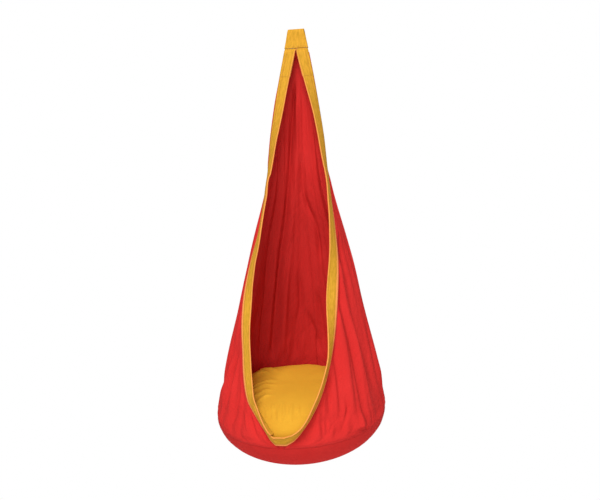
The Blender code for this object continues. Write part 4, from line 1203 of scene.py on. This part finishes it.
def swell(thing, voxel=0.0065, cap=0.004):
    """Remesh, blow the form up with cloth simulation, and keep each point within cap of its start."""
    remesh = thing.modifiers.new("even", "REMESH")
    remesh.mode = "VOXEL"
    remesh.voxel_size = voxel
    apply_modifiers(thing)
    start = mesh_points(thing)
    group = thing.vertex_groups.new(name="held")
    held = [i for i, p in enumerate(start) if p[2] < GUSSET_HALF_HEIGHT]
    group.add(held, 1.0, "REPLACE")
    cloth = thing.modifiers.new("cloth", "CLOTH")
    cloth.settings.quality = 5
    cloth.settings.tension_stiffness = 12
    cloth.settings.compression_stiffness = 12
    cloth.settings.bending_stiffness = 0.4
    cloth.settings.use_pressure = True
    cloth.settings.uniform_pressure_force = 4.0
    cloth.settings.shrink_min = -0.02
    cloth.settings.vertex_group_mass = "held"
    cloth.settings.effector_weights.gravity = 0.0
    cloth.collision_settings.use_collision = False
    scene = bpy.context.scene
    for step in range(1, SWELL_STEPS + 1):
        scene.frame_set(step)
    apply_modifiers(thing)
    scene.frame_set(1)
    way = mesh_points(thing) - start
    length = np.linalg.norm(way, axis=1, keepdims=True)
    way *= np.minimum(1.0, cap / np.maximum(length, 1e-9))
    thing.data.vertices.foreach_set("co", (start + way).ravel())
    smooth = thing.modifiers.new("smooth", "SUBSURF")
    smooth.levels = smooth.render_levels = 1
    apply_modifiers(thing)
    thing.data.shade_smooth()


def apply_modifiers(thing):
    bpy.context.view_layer.update()
    mesh = bpy.data.meshes.new_from_object(thing.evaluated_get(bpy.context.evaluated_depsgraph_get()))
    thing.modifiers.clear()
    thing.data = mesh


# Finishes of the CAD nodes that show as they are

def finish_cad_nodes():
    finishes = {
        "webbing": ("hook_webbing_crown",),
        "tape": ("zip_tape_upper", "zip_tape_lower"),
        "coil": ("zip_coil",),
        "steel": ("zip_stop_start", "zip_stop_end", "zip_slider", "zip_pull"),
        "bladder": ("air_bladder",),
        "valve": ("valve_stem", "valve_plug"),
    }
    for material, names in finishes.items():
        for name in names:
            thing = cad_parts[name]
            for slot in thing.material_slots:
                slot.material = MATERIALS[material]


# The studio

CAMERA_AZIMUTH_DEG = 13.5
CAMERA_ROLL_DEG = -0.9
CAMERA_DISTANCE = 3.2
CAMERA_LEVEL = -0.756
IMAGE_WIDTH = 600
FOCAL_PIXELS = 931.0
SENSOR_MM = 36.0
PLUMB_SHIFT_PIXELS = 0.5
WHITE = (1.0, 1.0, 1.0, 1.0)
FLOOR_DROP = 1.75
FLOOR_HALF = 14.0
FLOOR_LEVEL = 0.8
AMBIENT = 0.30
LIGHTS_AIM = (0.0, 0.0, -0.8)
# Area lights: name, place, size in metres and power in watts
LIGHTS = (
    ("key", (0.1, -8.5, 8.4), 5.2, 1520.0),
    ("fill", (0.9, -3.2, -1.0), 1.5, 18.0),
    ("back", (0.0, 2.6, 1.4), 1.6, 40.0),
)


def build_camera():
    """A level camera at the photograph's place, turned a little about its own axis."""
    azimuth = math.radians(CAMERA_AZIMUTH_DEG)
    data = bpy.data.cameras.new("camera")
    data.sensor_width = SENSOR_MM
    data.lens = FOCAL_PIXELS / IMAGE_WIDTH * SENSOR_MM
    data.shift_x = PLUMB_SHIFT_PIXELS / IMAGE_WIDTH
    data.clip_end = 50
    camera = add_object("camera", data)
    place = Vector((CAMERA_DISTANCE * math.sin(azimuth), -CAMERA_DISTANCE * math.cos(azimuth), CAMERA_LEVEL))
    turn = (Matrix.Rotation(azimuth, 4, "Z") @ Matrix.Rotation(math.radians(90), 4, "X")
            @ Matrix.Rotation(math.radians(CAMERA_ROLL_DEG), 4, "Z"))
    camera.matrix_world = Matrix.Translation(place) @ turn
    bpy.context.scene.camera = camera


def seen_directly(tree):
    """A socket that is 1 for camera and glossy rays, and 0 for the light that the surfaces share."""
    path = node(tree, "ShaderNodeLightPath")
    return calculate(tree, "MAXIMUM", path.outputs["Is Camera Ray"], path.outputs["Is Glossy Ray"])


def mix_seen(tree, output, shared, seen):
    """Link a shader for shared light, and another that the camera sees, to the tree's output."""
    mix = node(tree, "ShaderNodeMixShader", {0: seen_directly(tree), 1: shared, 2: seen})
    feed(tree, output.inputs["Surface"], mix.outputs[0])


def pale_material(name, level):
    """A pale floor that the camera sees as plain white, like the backdrop."""
    material, tree, shader = new_material(name, 0.9)
    feed(tree, shader.inputs["Base Color"], (level, level, level, 1.0))
    feed(tree, shader.inputs["Specular IOR Level"], 0.0)
    white = node(tree, "ShaderNodeEmission", {"Color": WHITE})
    mix_seen(tree, tree.nodes["Material Output"], shader.outputs[0], white.outputs[0])
    return material


def build_studio():
    corners = [(FLOOR_HALF * x, FLOOR_HALF * y, -FLOOR_DROP) for x, y in ((-1, -1), (1, -1), (1, 1), (-1, 1))]
    mesh = bpy.data.meshes.new("floor")
    mesh.from_pydata(corners, [], [(0, 1, 2, 3)])
    mesh.materials.append(pale_material("pale_floor", FLOOR_LEVEL))
    add_object("floor", mesh)
    world = bpy.data.worlds.new("studio")
    bpy.context.scene.world = world
    world.use_nodes = True
    tree = world.node_tree
    tree.nodes.clear()
    ambient = node(tree, "ShaderNodeBackground", {"Color": WHITE, "Strength": AMBIENT})
    white = node(tree, "ShaderNodeBackground", {"Color": WHITE, "Strength": 1.0})
    mix_seen(tree, node(tree, "ShaderNodeOutputWorld"), ambient.outputs[0], white.outputs[0])
    for name, place, size, power in LIGHTS:
        data = bpy.data.lights.new(name, "AREA")
        data.size = size
        data.energy = power
        lamp = add_object(name, data)
        lamp.location = place
        lamp.rotation_euler = (Vector(LIGHTS_AIM) - Vector(place)).to_track_quat("-Z", "Y").to_euler()
    bpy.context.scene.view_settings.view_transform = "Standard"


def main():
    build_camera()
    for side, word, curl in SIDES:
        build_wall(side, word, curl)
    build_band()
    build_band_stitches()
    build_bowl()
    build_seam_stitches()
    build_loop()
    build_loop_webbing()
    build_neck()
    build_cushion()
    finish_cad_nodes()
    build_studio()


main()
